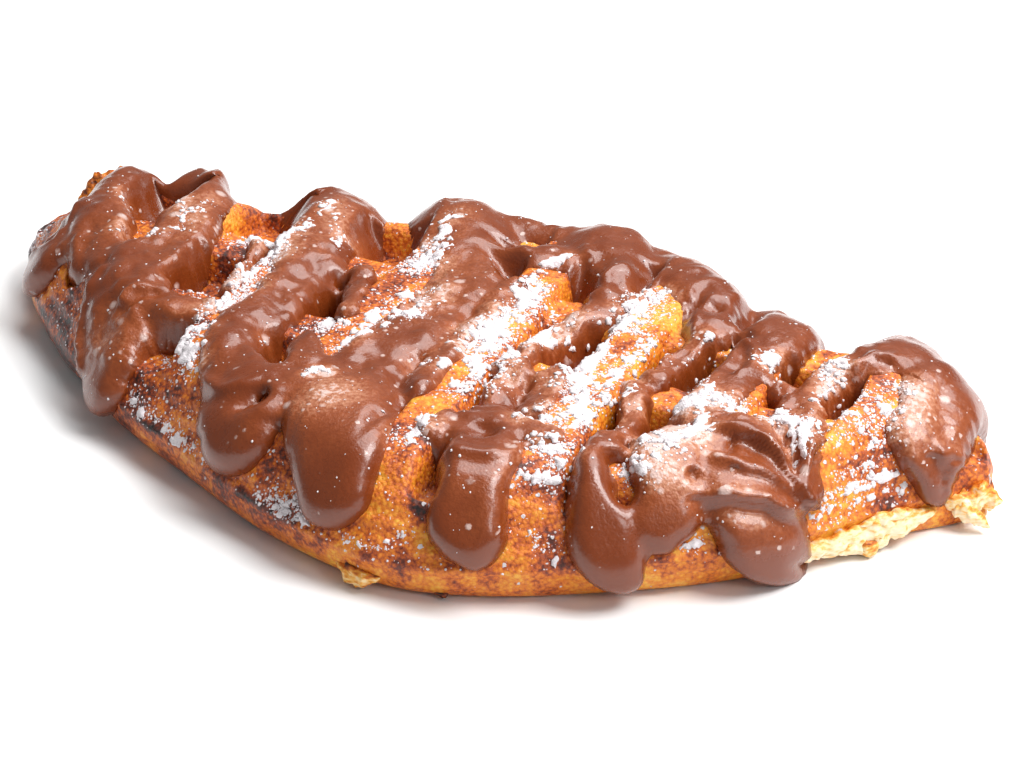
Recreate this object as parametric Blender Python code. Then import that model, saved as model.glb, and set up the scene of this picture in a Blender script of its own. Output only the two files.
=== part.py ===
"""Croffle: a croissant pressed in a waffle iron, with thick chocolate spread over its ridges.

Metres, +Z up. X runs along the croissant, Y to its straighter side, and the origin is on the
underside, on the ridge at x = 0, halfway between two of the lower bars that cross it.
"""
import math

import bmesh
import bpy
import numpy as np

MM = 0.001

# Waffle pattern
PITCH = 22.0 * MM
RIDGE_HALF = 3.6 * MM
WALL_RUN = 2.2 * MM
TOP_DEPTH = 8.0 * MM
UNDER_DEPTH = 5.5 * MM
BAR_DROP = 1.8 * MM
BAR_PHASE = 0.5 * PITCH
UNDER_CLEAR = 16.0 * MM

# Pressed croissant
TOP_Z = 21.0 * MM
SEAM_Z = 7.0 * MM
SKIRT = 15.0 * MM
TIP_LIFT = 0.55
STATIONS = 44

# Each edge from the left tip to the right tip, seen from above
FRONT_EDGE = np.array([(-102.5, 24), (-102, 13), (-93, 1), (-80.5, -12), (-61, -27.5), (-40.5, -39.5),
                       (-20.5, -50), (1, -56), (18, -53), (38, -43), (54, -32), (64, -19.5),
                       (73, -9), (80, -1.5), (84, 4)]) * MM
BACK_EDGE = np.array([(-102.5, 24), (-101, 30.5), (-94, 35), (-80, 36.5), (-63, 35.5), (-46, 38),
                      (-28, 42.5), (-8, 46), (10, 44.5), (24, 39), (36, 31), (48, 26), (60, 27),
                      (70, 25), (78, 16), (83, 9), (84, 4)]) * MM

# Half profile of the pressed edge: how far in from the seam, and how high
PROFILE = [(5.0, 0.0), (2.0, 0.9), (0.3, 3.6), (0.0, 7.0), (2.4, 11.2), (6.2, 16.0), (10.5, 19.4),
           (15.0, 21.0)]

# Ribbons of spread, each from the straighter side over the ridges to the end of its drip:
# x, y, half width, half thickness
RIBBONS = {
    "end_drape": [(-96, 27, 5.5, 3.4), (-98, 19, 6.5, 3.2), (-97, 11, 5.6, 3.0), (-94, 7, 4.6, 2.8)],
    "left_fall": [(-93, 32, 6.8, 8.6), (-86, 21, 7.5, 3.6), (-79, 6, 8.0, 3.0), (-72, -8, 8.0, 3.2),
                  (-66, -18, 7.5, 3.4), (-61, -25.5, 6.0, 3.2)],
    "left_ridge": [(-77, 35, 5.6, 9.2), (-72, 25, 6.5, 4.4), (-66, 8, 5.5, 3.0), (-66, -8, 5.5, 3.0)],
    "second_fall": [(-48, 36, 8.8, 7.4), (-46, 24, 7.5, 3.6), (-43, 6, 6.0, 3.0), (-42, -12, 6.0, 3.0),
                    (-38, -27, 8.4, 3.2), (-33.5, -37, 7.6, 3.8)],
    "middle_fall": [(-29, 41, 7.8, 8.8), (-21, 30, 8.0, 4.4), (-14, 14, 7.5, 3.2), (-13, -4, 7.5, 3.0),
                    (-14, -22, 8.5, 3.4), (-12, -36, 9.0, 3.8), (-9, -47, 7.2, 3.4)],
    "fourth_fall": [(-3, 42, 7.5, 6.6), (6, 30, 7.0, 4.2), (12, 10, 4.5, 2.8), (11, -8, 4.5, 2.8),
                    (9, -26, 6.0, 3.2), (10.5, -38, 7.0, 3.6), (12.5, -48.5, 6.4, 3.8)],
    "fifth_fall": [(15, 41, 7.8, 7.4), (25, 27, 6.5, 3.8), (32, 4, 4.6, 2.8), (32, -14, 5.0, 2.8),
                   (31, -30, 7.0, 3.6), (34, -41.5, 7.4, 3.8)],
    "sixth_fall": [(40, 28, 7.2, 6.2), (42, 12, 5.5, 3.2), (43, -8, 5.5, 3.0), (51, -19, 9.0, 3.2),
                   (57, -28, 7.0, 3.6)],
    "right_ridge": [(61.5, 24.5, 8.5, 6.9), (57, 10, 5.0, 3.0), (55, -6, 5.5, 3.0)],
    "right_end": [(74, 20, 6.5, 6.0), (74.5, 8, 7.0, 3.8), (75.5, -2, 5.8, 3.6)],
}
# Pools that join the ribbons along the front
POOLS = {
    "left_pool": [(-86, 16, 5.0, 2.6), (-74, 8, 6.0, 2.8), (-62, -12, 6.0, 2.8), (-52, -16, 4.0, 2.4)],
    "front_pool": [(-24, -30, 5.0, 3.0), (-8, -32, 6.0, 3.0), (8, -30, 5.5, 3.0), (24, -28, 5.0, 2.8),
                   (40, -24, 6.0, 3.0), (52, -14, 6.5, 3.0), (60, -12, 4.0, 2.4)],
    "drip_pair": [(39, -25, 6.5, 3.4), (42, -34, 6.0, 3.6), (41, -39, 5.0, 3.4)],
}
RIBBON_SIDES = 10
RIBBON_STEP = 5.0 * MM
RIBBON_SINK = 0.9 * MM
ROUND_END = (math.radians(70), math.radians(38))


def material(name, colour, roughness):
    """A plain named finish."""
    finish = bpy.data.materials.new(name)
    finish.use_nodes = True
    shader = finish.node_tree.nodes["Principled BSDF"]
    shader.inputs["Base Color"].default_value = (*colour, 1.0)
    shader.inputs["Roughness"].default_value = roughness
    return finish


def curve_through(points, count):
    """Catmull-Rom curve through the points, at even steps of length."""
    ends = np.vstack([2 * points[0] - points[1], points, 2 * points[-1] - points[-2]])
    t = np.linspace(0.0, 1.0, 16, endpoint=False)[:, None]
    rows = []
    for a, b, c, d in zip(ends[:-3], ends[1:-2], ends[2:-1], ends[3:]):
        rows.append(0.5 * (2 * b + (c - a) * t + (2 * a - 5 * b + 4 * c - d) * t ** 2
                           + (3 * b - a - 3 * c + d) * t ** 3))
    line = np.vstack(rows + [points[-1:]])
    reach = np.concatenate([[0.0], np.cumsum(np.linalg.norm(np.diff(line[:, :2], axis=0), axis=1))])
    at = np.linspace(0.0, reach[-1], count)
    return np.column_stack([np.interp(at, reach, line[:, k]) for k in range(line.shape[1])])


def solid(name, verts, faces):
    """A mesh object from points and faces, with its faces turned outward."""
    mesh = bpy.data.meshes.new(name)
    mesh.from_pydata([tuple(v) for v in verts], [], faces)
    bm = bmesh.new()
    bm.from_mesh(mesh)
    bmesh.ops.recalc_face_normals(bm, faces=bm.faces)
    bm.to_mesh(mesh)
    bm.free()
    piece = bpy.data.objects.new(name, mesh)
    bpy.context.scene.collection.objects.link(piece)
    return piece


def ring_faces(rings, sides):
    """Quads between following rings, and a fan-free cap at each end."""
    faces = []
    for i in range(rings - 1):
        for j in range(sides):
            k = (j + 1) % sides
            faces.append((i * sides + j, i * sides + k, (i + 1) * sides + k, (i + 1) * sides + j))
    faces.append(tuple(range(sides))[::-1])
    faces.append(tuple((rings - 1) * sides + j for j in range(sides)))
    return faces


FRONT = curve_through(FRONT_EDGE, STATIONS)
BACK = curve_through(BACK_EDGE, STATIONS)
EDGE = np.vstack([FRONT, BACK[-2:0:-1]])


def inside_distance(x, y):
    """Distance in from the seam line seen from above, negative outside it."""
    point = np.array([x, y])
    after = np.roll(EDGE, -1, axis=0)
    along = after - EDGE
    t = np.clip(((point - EDGE) * along).sum(axis=1) / np.maximum((along ** 2).sum(axis=1), 1e-12), 0.0, 1.0)
    near = np.linalg.norm(point - EDGE - t[:, None] * along, axis=1).min()
    crossing = (EDGE[:, 1] > y) != (after[:, 1] > y)
    at = EDGE[:, 0] + along[:, 0] * (y - EDGE[:, 1]) / np.where(np.abs(along[:, 1]) < 1e-9, 1e-9, along[:, 1])
    inside = np.count_nonzero(crossing & (x < at)) % 2 == 1
    return near if inside else -near


def tip_share(x):
    """Lower toward both tips: 1 in the middle of the croissant, less at its ends."""
    left = min(1.0, max(0.0, (x - FRONT_EDGE[0][0]) / (26 * MM)))
    right = min(1.0, max(0.0, (FRONT_EDGE[-1][0] - x) / (22 * MM)))
    lift = min(math.sin(left * math.pi / 2), math.sin(right * math.pi / 2))
    return TIP_LIFT + (1.0 - TIP_LIFT) * lift


def skin_height(x, y):
    """Height of the pressed croissant's skin, ridges unpressed."""
    inset = [p[0] * MM for p in PROFILE[3:]]
    height = [p[1] * MM for p in PROFILE[3:]]
    return float(np.interp(inside_distance(x, y), inset, height)) * tip_share(x)


def croissant_body():
    """Loft of closed sections across the croissant, from the left tip to the right one."""
    verts = []
    for (fx, fy), (bx, by) in zip(FRONT[1:-1], BACK[1:-1]):
        across = np.array([bx - fx, by - fy])
        width = np.linalg.norm(across)
        across /= width
        narrow = min(1.0, width / (2.2 * SKIRT))
        lift = tip_share(0.5 * (fx + bx))
        front_side = [(inset * MM * narrow, height * MM * lift) for inset, height in PROFILE]
        back_side = [(width - inset, height) for inset, height in reversed(front_side)]
        for inset, height in front_side + back_side:
            verts.append((fx + across[0] * inset, fy + across[1] * inset, height))
    sides = 2 * len(PROFILE)
    body = solid("croffle", verts, ring_faces(STATIONS - 2, sides))
    return body


def waffle_plate():
    """Slab with square pockets pressed into its top and, away from the rim, its underside."""
    offsets = (-RIDGE_HALF - WALL_RUN, -RIDGE_HALF, RIDGE_HALF, RIDGE_HALF + WALL_RUN)
    lines_x = sorted(k * PITCH + o for k in range(-5, 5) for o in offsets)
    lines_y = sorted(k * PITCH + BAR_PHASE + o for k in range(-4, 3) for o in offsets)
    top, under = [], []
    for y in lines_y:
        for x in lines_x:
            off_x = abs((x / PITCH + 0.5) % 1.0 - 0.5) * PITCH
            off_y = abs(((y - BAR_PHASE) / PITCH + 0.5) % 1.0 - 0.5) * PITCH
            on_ridge = off_x < RIDGE_HALF + 0.5 * WALL_RUN
            on_bar = off_y < RIDGE_HALF + 0.5 * WALL_RUN
            crown = TOP_Z + 0.5 * MM if on_ridge else TOP_Z - BAR_DROP
            top.append((x, y, crown if on_ridge or on_bar else TOP_Z - TOP_DEPTH))
            cell = ((math.floor(x / PITCH) + 0.5) * PITCH, round(y / PITCH) * PITCH)
            deep = UNDER_DEPTH if inside_distance(*cell) > UNDER_CLEAR else 0.0
            under.append((x, y, 0.0 if on_ridge or on_bar else deep))
    nx, ny = len(lines_x), len(lines_y)
    count = nx * ny
    faces = []
    for j in range(ny - 1):
        for i in range(nx - 1):
            a = j * nx + i
            faces.append((a, a + 1, a + nx + 1, a + nx))
            faces.append((count + a, count + a + nx, count + a + nx + 1, count + a + 1))
    rim = ([i for i in range(nx)] + [j * nx + nx - 1 for j in range(1, ny)]
           + [(ny - 1) * nx + i for i in range(nx - 2, -1, -1)] + [j * nx for j in range(ny - 2, 0, -1)])
    for a, b in zip(rim, rim[1:] + rim[:1]):
        faces.append((a, count + a, count + b, b))
    return solid("waffle_plate", top + under, faces)


def end_ring(spot, along, side, out, half, thick, turn):
    """Ring of a rounded end, the given angle round from its widest place."""
    share = math.cos(turn)
    return spot + along * half * math.sin(turn), side, out, half * share, thick * share


def ribbon(name, knots):
    """Swept oval of spread that follows the skin, with rounded ends."""
    path = np.array(knots) * MM
    reach = np.linalg.norm(np.diff(path[:, :2], axis=0), axis=1).sum()
    line = curve_through(path, max(5, int(reach / RIBBON_STEP)))
    centre = np.array([(x, y, skin_height(x, y) - RIBBON_SINK) for x, y, _, _ in line])
    count = len(line)
    verts, rings = [], []
    for i in range(count):
        along = centre[min(i + 1, count - 1)] - centre[max(i - 1, 0)]
        along /= np.linalg.norm(along)
        side = np.cross(along, (0.0, 0.0, 1.0))
        side /= np.linalg.norm(side)
        out = np.cross(side, along)
        half, thick = line[i, 2], line[i, 3]
        for step in ROUND_END if i == 0 else ():
            rings.append(end_ring(centre[i], -along, side, out, half, thick, step))
        rings.append((centre[i], side, out, half, thick))
        for step in reversed(ROUND_END) if i == count - 1 else ():
            rings.append(end_ring(centre[i], along, side, out, half, thick, step))
    for spot, side, out, half, thick in rings:
        for j in range(RIBBON_SIDES):
            turn = 2.0 * math.pi * j / RIBBON_SIDES
            verts.append(spot + side * half * math.cos(turn) + out * thick * math.sin(turn))
    return solid(name, verts, ring_faces(len(rings), RIBBON_SIDES))


def lump(name, centre, size):
    """Small rounded lump."""
    bm = bmesh.new()
    bmesh.ops.create_icosphere(bm, subdivisions=2, radius=1.0)
    for v in bm.verts:
        v.co = [c + s * q for c, s, q in zip(centre, size, v.co)]
    mesh = bpy.data.meshes.new(name)
    bm.to_mesh(mesh)
    bm.free()
    piece = bpy.data.objects.new(name, mesh)
    bpy.context.scene.collection.objects.link(piece)
    return piece


def apply_boolean(target, operation, tools, solver):
    """Run one Boolean of a collection on the target, apply it and remove the tools."""
    group = bpy.data.collections.new("tools")
    bpy.context.scene.collection.children.link(group)
    for tool in tools:
        bpy.context.scene.collection.objects.unlink(tool)
        group.objects.link(tool)
        tool.hide_render = True
        tool.display_type = "WIRE"
    step = target.modifiers.new("fuse", "BOOLEAN")
    step.operation = operation
    step.solver = solver
    step.operand_type = "COLLECTION"
    step.collection = group
    bpy.context.view_layer.objects.active = target
    bpy.ops.object.modifier_apply(modifier=step.name)
    for tool in tools:
        bpy.data.objects.remove(tool)
    bpy.data.collections.remove(group)


def keep_largest(piece):
    """Drop loose scraps and fill sealed hollows, so that one closed body is left."""
    bm = bmesh.new()
    bm.from_mesh(piece.data)
    seen, bodies = set(), []
    for start in bm.verts:
        if start in seen:
            continue
        stack, body = [start], []
        seen.add(start)
        while stack:
            v = stack.pop()
            body.append(v)
            for edge in v.link_edges:
                other = edge.other_vert(v)
                if other not in seen:
                    seen.add(other)
                    stack.append(other)
        bodies.append(body)
    bodies.sort(key=len)
    for body in bodies[:-1]:
        bmesh.ops.delete(bm, geom=body, context="VERTS")
    bmesh.ops.triangulate(bm, faces=bm.faces)
    bm.to_mesh(piece.data)
    bm.free()
    print("bodies before the clean-up:", len(bodies), "triangles:", len(piece.data.polygons))


for old in list(bpy.data.objects):
    bpy.data.objects.remove(old)

croffle = croissant_body()
apply_boolean(croffle, "INTERSECT", [waffle_plate()], "MANIFOLD")

spread = [ribbon(name, knots) for name, knots in (*RIBBONS.items(), *POOLS.items())]
spread.append(lump("torn_flake", (-1.0 * MM, -55.8 * MM, 4.6 * MM), (2.8 * MM, 4.0 * MM, 1.8 * MM)))
spread.append(lump("torn_tip", (83 * MM, 1 * MM, 4.8 * MM), (4.2 * MM, 4.4 * MM, 2.6 * MM)))
apply_boolean(croffle, "UNION", spread, "MANIFOLD")
keep_largest(croffle)

croffle.data.materials.clear()
croffle.data.materials.append(material("baked_crust", (0.36, 0.15, 0.05), 0.5))
for face in croffle.data.polygons:
    face.material_index = 0
    face.use_smooth = False
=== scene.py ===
# %% [markdown]
# # A croffle with chocolate spread and icing sugar
# A croffle is a croissant pressed flat in a waffle iron. The iron leaves ridges and square
# pockets, the squeezed edges stay rounded, and warm chocolate spread runs over the ridges and
# hangs down the side in thick drips. Icing sugar lies on the high places.
# Everything here is worked out on one grid of points that wraps the pastry, because the crust,
# the spread and the sugar all lie on the same skin and have to fit each other exactly.

import math

import bmesh
import bpy
import numpy as np
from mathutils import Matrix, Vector


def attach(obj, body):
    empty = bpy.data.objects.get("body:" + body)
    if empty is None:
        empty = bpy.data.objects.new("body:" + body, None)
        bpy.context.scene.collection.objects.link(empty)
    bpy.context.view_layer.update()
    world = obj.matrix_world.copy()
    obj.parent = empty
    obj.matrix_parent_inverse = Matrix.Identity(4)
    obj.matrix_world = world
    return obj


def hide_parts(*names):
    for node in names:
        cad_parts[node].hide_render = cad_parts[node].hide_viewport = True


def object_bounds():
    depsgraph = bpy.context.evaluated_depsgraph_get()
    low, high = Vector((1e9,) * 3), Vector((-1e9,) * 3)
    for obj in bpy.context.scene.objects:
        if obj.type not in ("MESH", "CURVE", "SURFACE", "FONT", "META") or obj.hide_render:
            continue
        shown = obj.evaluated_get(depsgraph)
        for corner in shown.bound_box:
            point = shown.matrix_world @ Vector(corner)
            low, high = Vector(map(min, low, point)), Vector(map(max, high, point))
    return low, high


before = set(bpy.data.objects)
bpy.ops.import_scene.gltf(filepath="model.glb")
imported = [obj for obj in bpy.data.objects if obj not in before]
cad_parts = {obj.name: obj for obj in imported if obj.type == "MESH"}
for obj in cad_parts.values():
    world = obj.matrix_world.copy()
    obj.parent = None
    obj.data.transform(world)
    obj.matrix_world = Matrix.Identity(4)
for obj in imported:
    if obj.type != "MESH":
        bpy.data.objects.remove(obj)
CAD_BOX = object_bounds()
MM = 0.001
print("box of the solid in mm:", [round(v / MM, 1) for corner in CAD_BOX for v in corner])

# %% [markdown]
# ## The iron and the pressed croissant
# The iron's ridges are 22 mm apart. Ridges run across the croissant, and lower bars cross them
# halfway between. The outline is two curves seen from above, and the side is one rounded
# profile, so a few dozen numbers in millimetres describe the whole pastry.

# %% Sizes in millimetres
PITCH = 22.0  # from one ridge to the next
RIDGE_HALF = 3.6  # half of a ridge's flat top
WALL_RUN = 2.4  # run of a ridge's wall
TOP_Z = 21.0  # top of the ridges, without spread
POCKET_DEPTH = 8.0  # from the ridges down to the pockets
UNDER_DEPTH = 5.5  # pockets pressed in from below
BAR_DROP = 2.2  # how much lower the bars are than the ridges
SEAM_Z = 7.0  # where the two plates met
SKIRT = 15.0  # how far in the rounded side reaches
TIP_LIFT = 0.55  # share of the full height that is left at a tip
LEFT_TIP_RUN, RIGHT_TIP_RUN = 26.0, 22.0  # lengths over which the tips get thin

# The outline seen from above, from the left tip to the right one
FRONT_EDGE = np.array([(-102.5, 24), (-102, 13), (-93, 1), (-80.5, -12), (-61, -27.5), (-40.5, -39.5),
                       (-20.5, -50), (1, -56), (18, -53), (38, -43), (54, -32), (64, -19.5),
                       (73, -9), (80, -1.5), (84, 4)], float)
BACK_EDGE = np.array([(-102.5, 24), (-101, 30.5), (-94, 35), (-80, 36.5), (-63, 35.5), (-46, 38),
                      (-28, 42.5), (-8, 46), (10, 44.5), (24, 39), (36, 31), (48, 26), (60, 27),
                      (70, 25), (78, 16), (83, 9), (84, 4)], float)
# Side of the pastry, from the floor up: how far in from the seam, and how high
PROFILE = np.array([(5.0, 0.0), (2.0, 0.9), (0.3, 3.6), (0.0, 7.0), (2.4, 11.2), (6.2, 16.0),
                    (10.5, 19.4), (15.0, 21.0)])
print("length over the outline:", FRONT_EDGE[-1][0] - FRONT_EDGE[0][0])

# %% [markdown]
# ## Random values that are smooth
# Baked dough is never even. A table of random numbers on a cubic lattice, blended between its
# corners, gives hills of any chosen size, and adding smaller hills on larger ones looks natural.
# The table is seeded, so every run gives the same pastry.

# %% Smooth noise
TABLE = 24  # lattice values along each axis, before they repeat


def noise(points, size, seed):
    """Random value from -1 to 1: lattice values one size apart, blended by smooth steps."""
    table = np.random.default_rng(seed).uniform(-1.0, 1.0, (TABLE,) * 3)
    place = points / size
    cell = np.floor(place).astype(int)
    step = place - cell
    step = step * step * (3.0 - 2.0 * step)
    total = 0.0
    for corner in np.ndindex(2, 2, 2):
        share = np.prod(np.where(np.array(corner) == 1, step, 1.0 - step), axis=-1)
        at = (cell + corner) % TABLE
        total = total + share * table[at[..., 0], at[..., 1], at[..., 2]]
    return total


def rough(points, size, seed, octaves=3):
    """Sum of noises, each half as large in size and in strength as the one before."""
    parts = [noise(points, size / 2 ** k, seed + k) / 2 ** k for k in range(octaves)]
    return sum(parts)


def smooth_step(value, low, high):
    """0 below low, 1 above high and an S curve between."""
    t = np.clip((value - low) / (high - low), 0.0, 1.0)
    return t * t * (3.0 - 2.0 * t)


# %% [markdown]
# ## A grid that wraps the pastry
# Each section of the grid runs up the front side, over the top, down the back and under the
# pastry. Beside its place in space, every point gets a flat address, as if the side were
# unrolled outward from the edge of the top. Drips and sugar are laid out in these flat
# addresses, so a drip keeps its width while it turns over the edge.

# %% Curve through points
def curve_through(points, count):
    """Catmull-Rom curve through the points, at even steps of its length seen from above.

    Between two points the curve is a cubic that leaves each point in the direction from the
    point before it to the point after it.
    """
    ends = np.vstack([2 * points[0] - points[1], points, 2 * points[-1] - points[-2]])
    t = np.linspace(0.0, 1.0, 16, endpoint=False)[:, None]
    rows = []
    for a, b, c, d in zip(ends[:-3], ends[1:-2], ends[2:-1], ends[3:]):
        rows.append(0.5 * (2 * b + (c - a) * t + (2 * a - 5 * b + 4 * c - d) * t ** 2
                           + (3 * b - a - 3 * c + d) * t ** 3))
    line = np.vstack(rows + [points[-1:]])
    reach = np.concatenate([[0.0], np.cumsum(np.linalg.norm(np.diff(line[:, :2], axis=0), axis=1))])
    at = np.linspace(0.0, reach[-1], count)
    return np.column_stack([np.interp(at, reach, line[:, k]) for k in range(line.shape[1])])


# %% Wrapping grid
TIP_Z = 5.5  # height at which the sections close at both tips
TIP_CLOSE = 7.0  # the last part of the length that closes, of TIP_STEPS
TIP_STEPS = 200.0


def tip_share(x):
    """Share of the full height: 1 in the middle, down to TIP_LIFT at both tips, by a quarter sine."""
    left = np.clip((x - FRONT_EDGE[0][0]) / LEFT_TIP_RUN, 0.0, 1.0)
    right = np.clip((FRONT_EDGE[-1][0] - x) / RIGHT_TIP_RUN, 0.0, 1.0)
    return TIP_LIFT + (1.0 - TIP_LIFT) * np.sin(np.minimum(left, right) * math.pi / 2)


def wrapping_grid(n_along, n_side, n_top, n_under=0):
    """Points, flat addresses and the part (0 front, 1 top, 2 back, 3 under) of each grid row.

    A section is the side profile scaled to the local width and height, then a straight top,
    then the same profile mirrored. Towards a tip its heights shrink to TIP_Z by a quarter circle.
    """
    front = curve_through(FRONT_EDGE, n_along)
    back = curve_through(BACK_EDGE, n_along)
    width = np.linalg.norm(back - front, axis=1)
    across = (back - front) / np.maximum(width, 1e-6)[:, None]
    across[0], across[-1] = across[1], across[-2]
    side = curve_through(PROFILE, n_side)
    arc = np.concatenate([[0.0], np.cumsum(np.linalg.norm(np.diff(side, axis=0), axis=1))])
    narrow = np.minimum(1.0, width / (2.2 * SKIRT))[:, None]
    lift = tip_share(0.5 * (front[:, 0] + back[:, 0]))[:, None]
    inset, beyond = narrow * side[:, 0], narrow * (arc[-1] - arc)
    height = lift * side[:, 1]
    step = across[:, None, :]
    plan_front = front[:, None, :] + step * inset[..., None]
    plan_back = back[:, None, :] - step * inset[..., None]
    top_front, top_back = plan_front[:, -1:], plan_back[:, -1:]
    t = np.linspace(0.0, 1.0, n_top + 2)[None, 1:-1, None]
    s = np.linspace(0.0, 1.0, n_under + 2)[None, 1:-1, None]
    plan_top = top_front + (top_back - top_front) * t
    plan_under = plan_back[:, :1] + (plan_front[:, :1] - plan_back[:, :1]) * s
    plan = np.concatenate([plan_front, plan_top, plan_back[:, ::-1], plan_under], axis=1)
    flat = np.concatenate([top_front - step * beyond[..., None], plan_top,
                           (top_back + step * beyond[..., None])[:, ::-1], plan_under], axis=1)
    z = np.concatenate([height, np.repeat(height[:, -1:], n_top, axis=1), height[:, ::-1],
                        np.zeros((n_along, n_under))], axis=1)
    end = np.minimum(np.arange(n_along), np.arange(n_along)[::-1]) / (n_along - 1) * TIP_STEPS
    close = np.sqrt(1.0 - (1.0 - np.clip(end / TIP_CLOSE, 0.0, 1.0)) ** 2)[:, None]
    z = TIP_Z + (z - TIP_Z) * close
    rows = np.repeat([0, 1, 2, 3], [n_side, n_top, n_side, n_under])
    return np.concatenate([plan, z[..., None]], axis=2), flat, rows


def normals_of(points, closed=False):
    """Unit normals: the cross product of the steps along and around the grid."""
    along = np.gradient(points, axis=0)
    if closed:
        around = 0.5 * (np.roll(points, -1, axis=1) - np.roll(points, 1, axis=1))
    else:
        around = np.gradient(points, axis=1)
    out = np.cross(along, around)
    return out / np.maximum(np.linalg.norm(out, axis=2), 1e-9)[..., None]


# %% [markdown]
# ## What the iron presses in
# The plate is a height over the plan: ridges across, lower bars along, pockets between. The
# pastry's skin is the lower of the plate and the puffed croissant, blended at the meeting so
# that dough looks squeezed and not cut. The lines wander a little, because dough moves.

# %% The iron's plate
WANDER = 0.9  # how far the lines of the lattice stray


def bar_shape(offset, half, wall):
    """1 on a bar, 0 beside it, with an S-curved wall of the given run."""
    return 1.0 - smooth_step(np.abs(offset), half, half + wall)


def plate_height(x, y, wall=WALL_RUN, depth=POCKET_DEPTH):
    """Height of the iron's plate: the larger of the ridge and the bar over the pocket floor."""
    off_x = (x / PITCH + 0.5) % 1.0 * PITCH - PITCH / 2
    off_y = (y / PITCH) % 1.0 * PITCH - PITCH / 2
    ridge = bar_shape(off_x, RIDGE_HALF, wall) * (depth + 0.4 - 0.02 * off_x ** 2)
    bar = bar_shape(off_y, RIDGE_HALF, wall) * (depth - BAR_DROP)
    return TOP_Z - depth + np.log(np.exp(2.0 * ridge) + np.exp(2.0 * bar)) / 2.0


def lower_of(a, b, blend):
    """Smooth minimum: the lower of two heights, rounded where they differ by less than blend."""
    near = np.clip(0.5 + 0.5 * (b - a) / blend, 0.0, 1.0)
    return b + (a - b) * near - blend * near * (1.0 - near)


def wandering(flat):
    """Plan address with the iron's lines bent: each coordinate plus WANDER times broad noise."""
    at = np.concatenate([flat, np.zeros_like(flat[..., :1])], axis=-1)
    return flat[..., 0] + WANDER * noise(at, 17.0, 3), flat[..., 1] + WANDER * noise(at, 19.0, 4)


# %% [markdown]
# ## Spread, laid out in flat addresses
# Each ribbon of spread starts on a hump at the back, runs over the ridges and ends in a drip
# on the front. A ribbon is a line of places with a half width, a thickness, and how far it
# fills the pockets that it crosses. Where ribbons meet they flow together.

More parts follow.
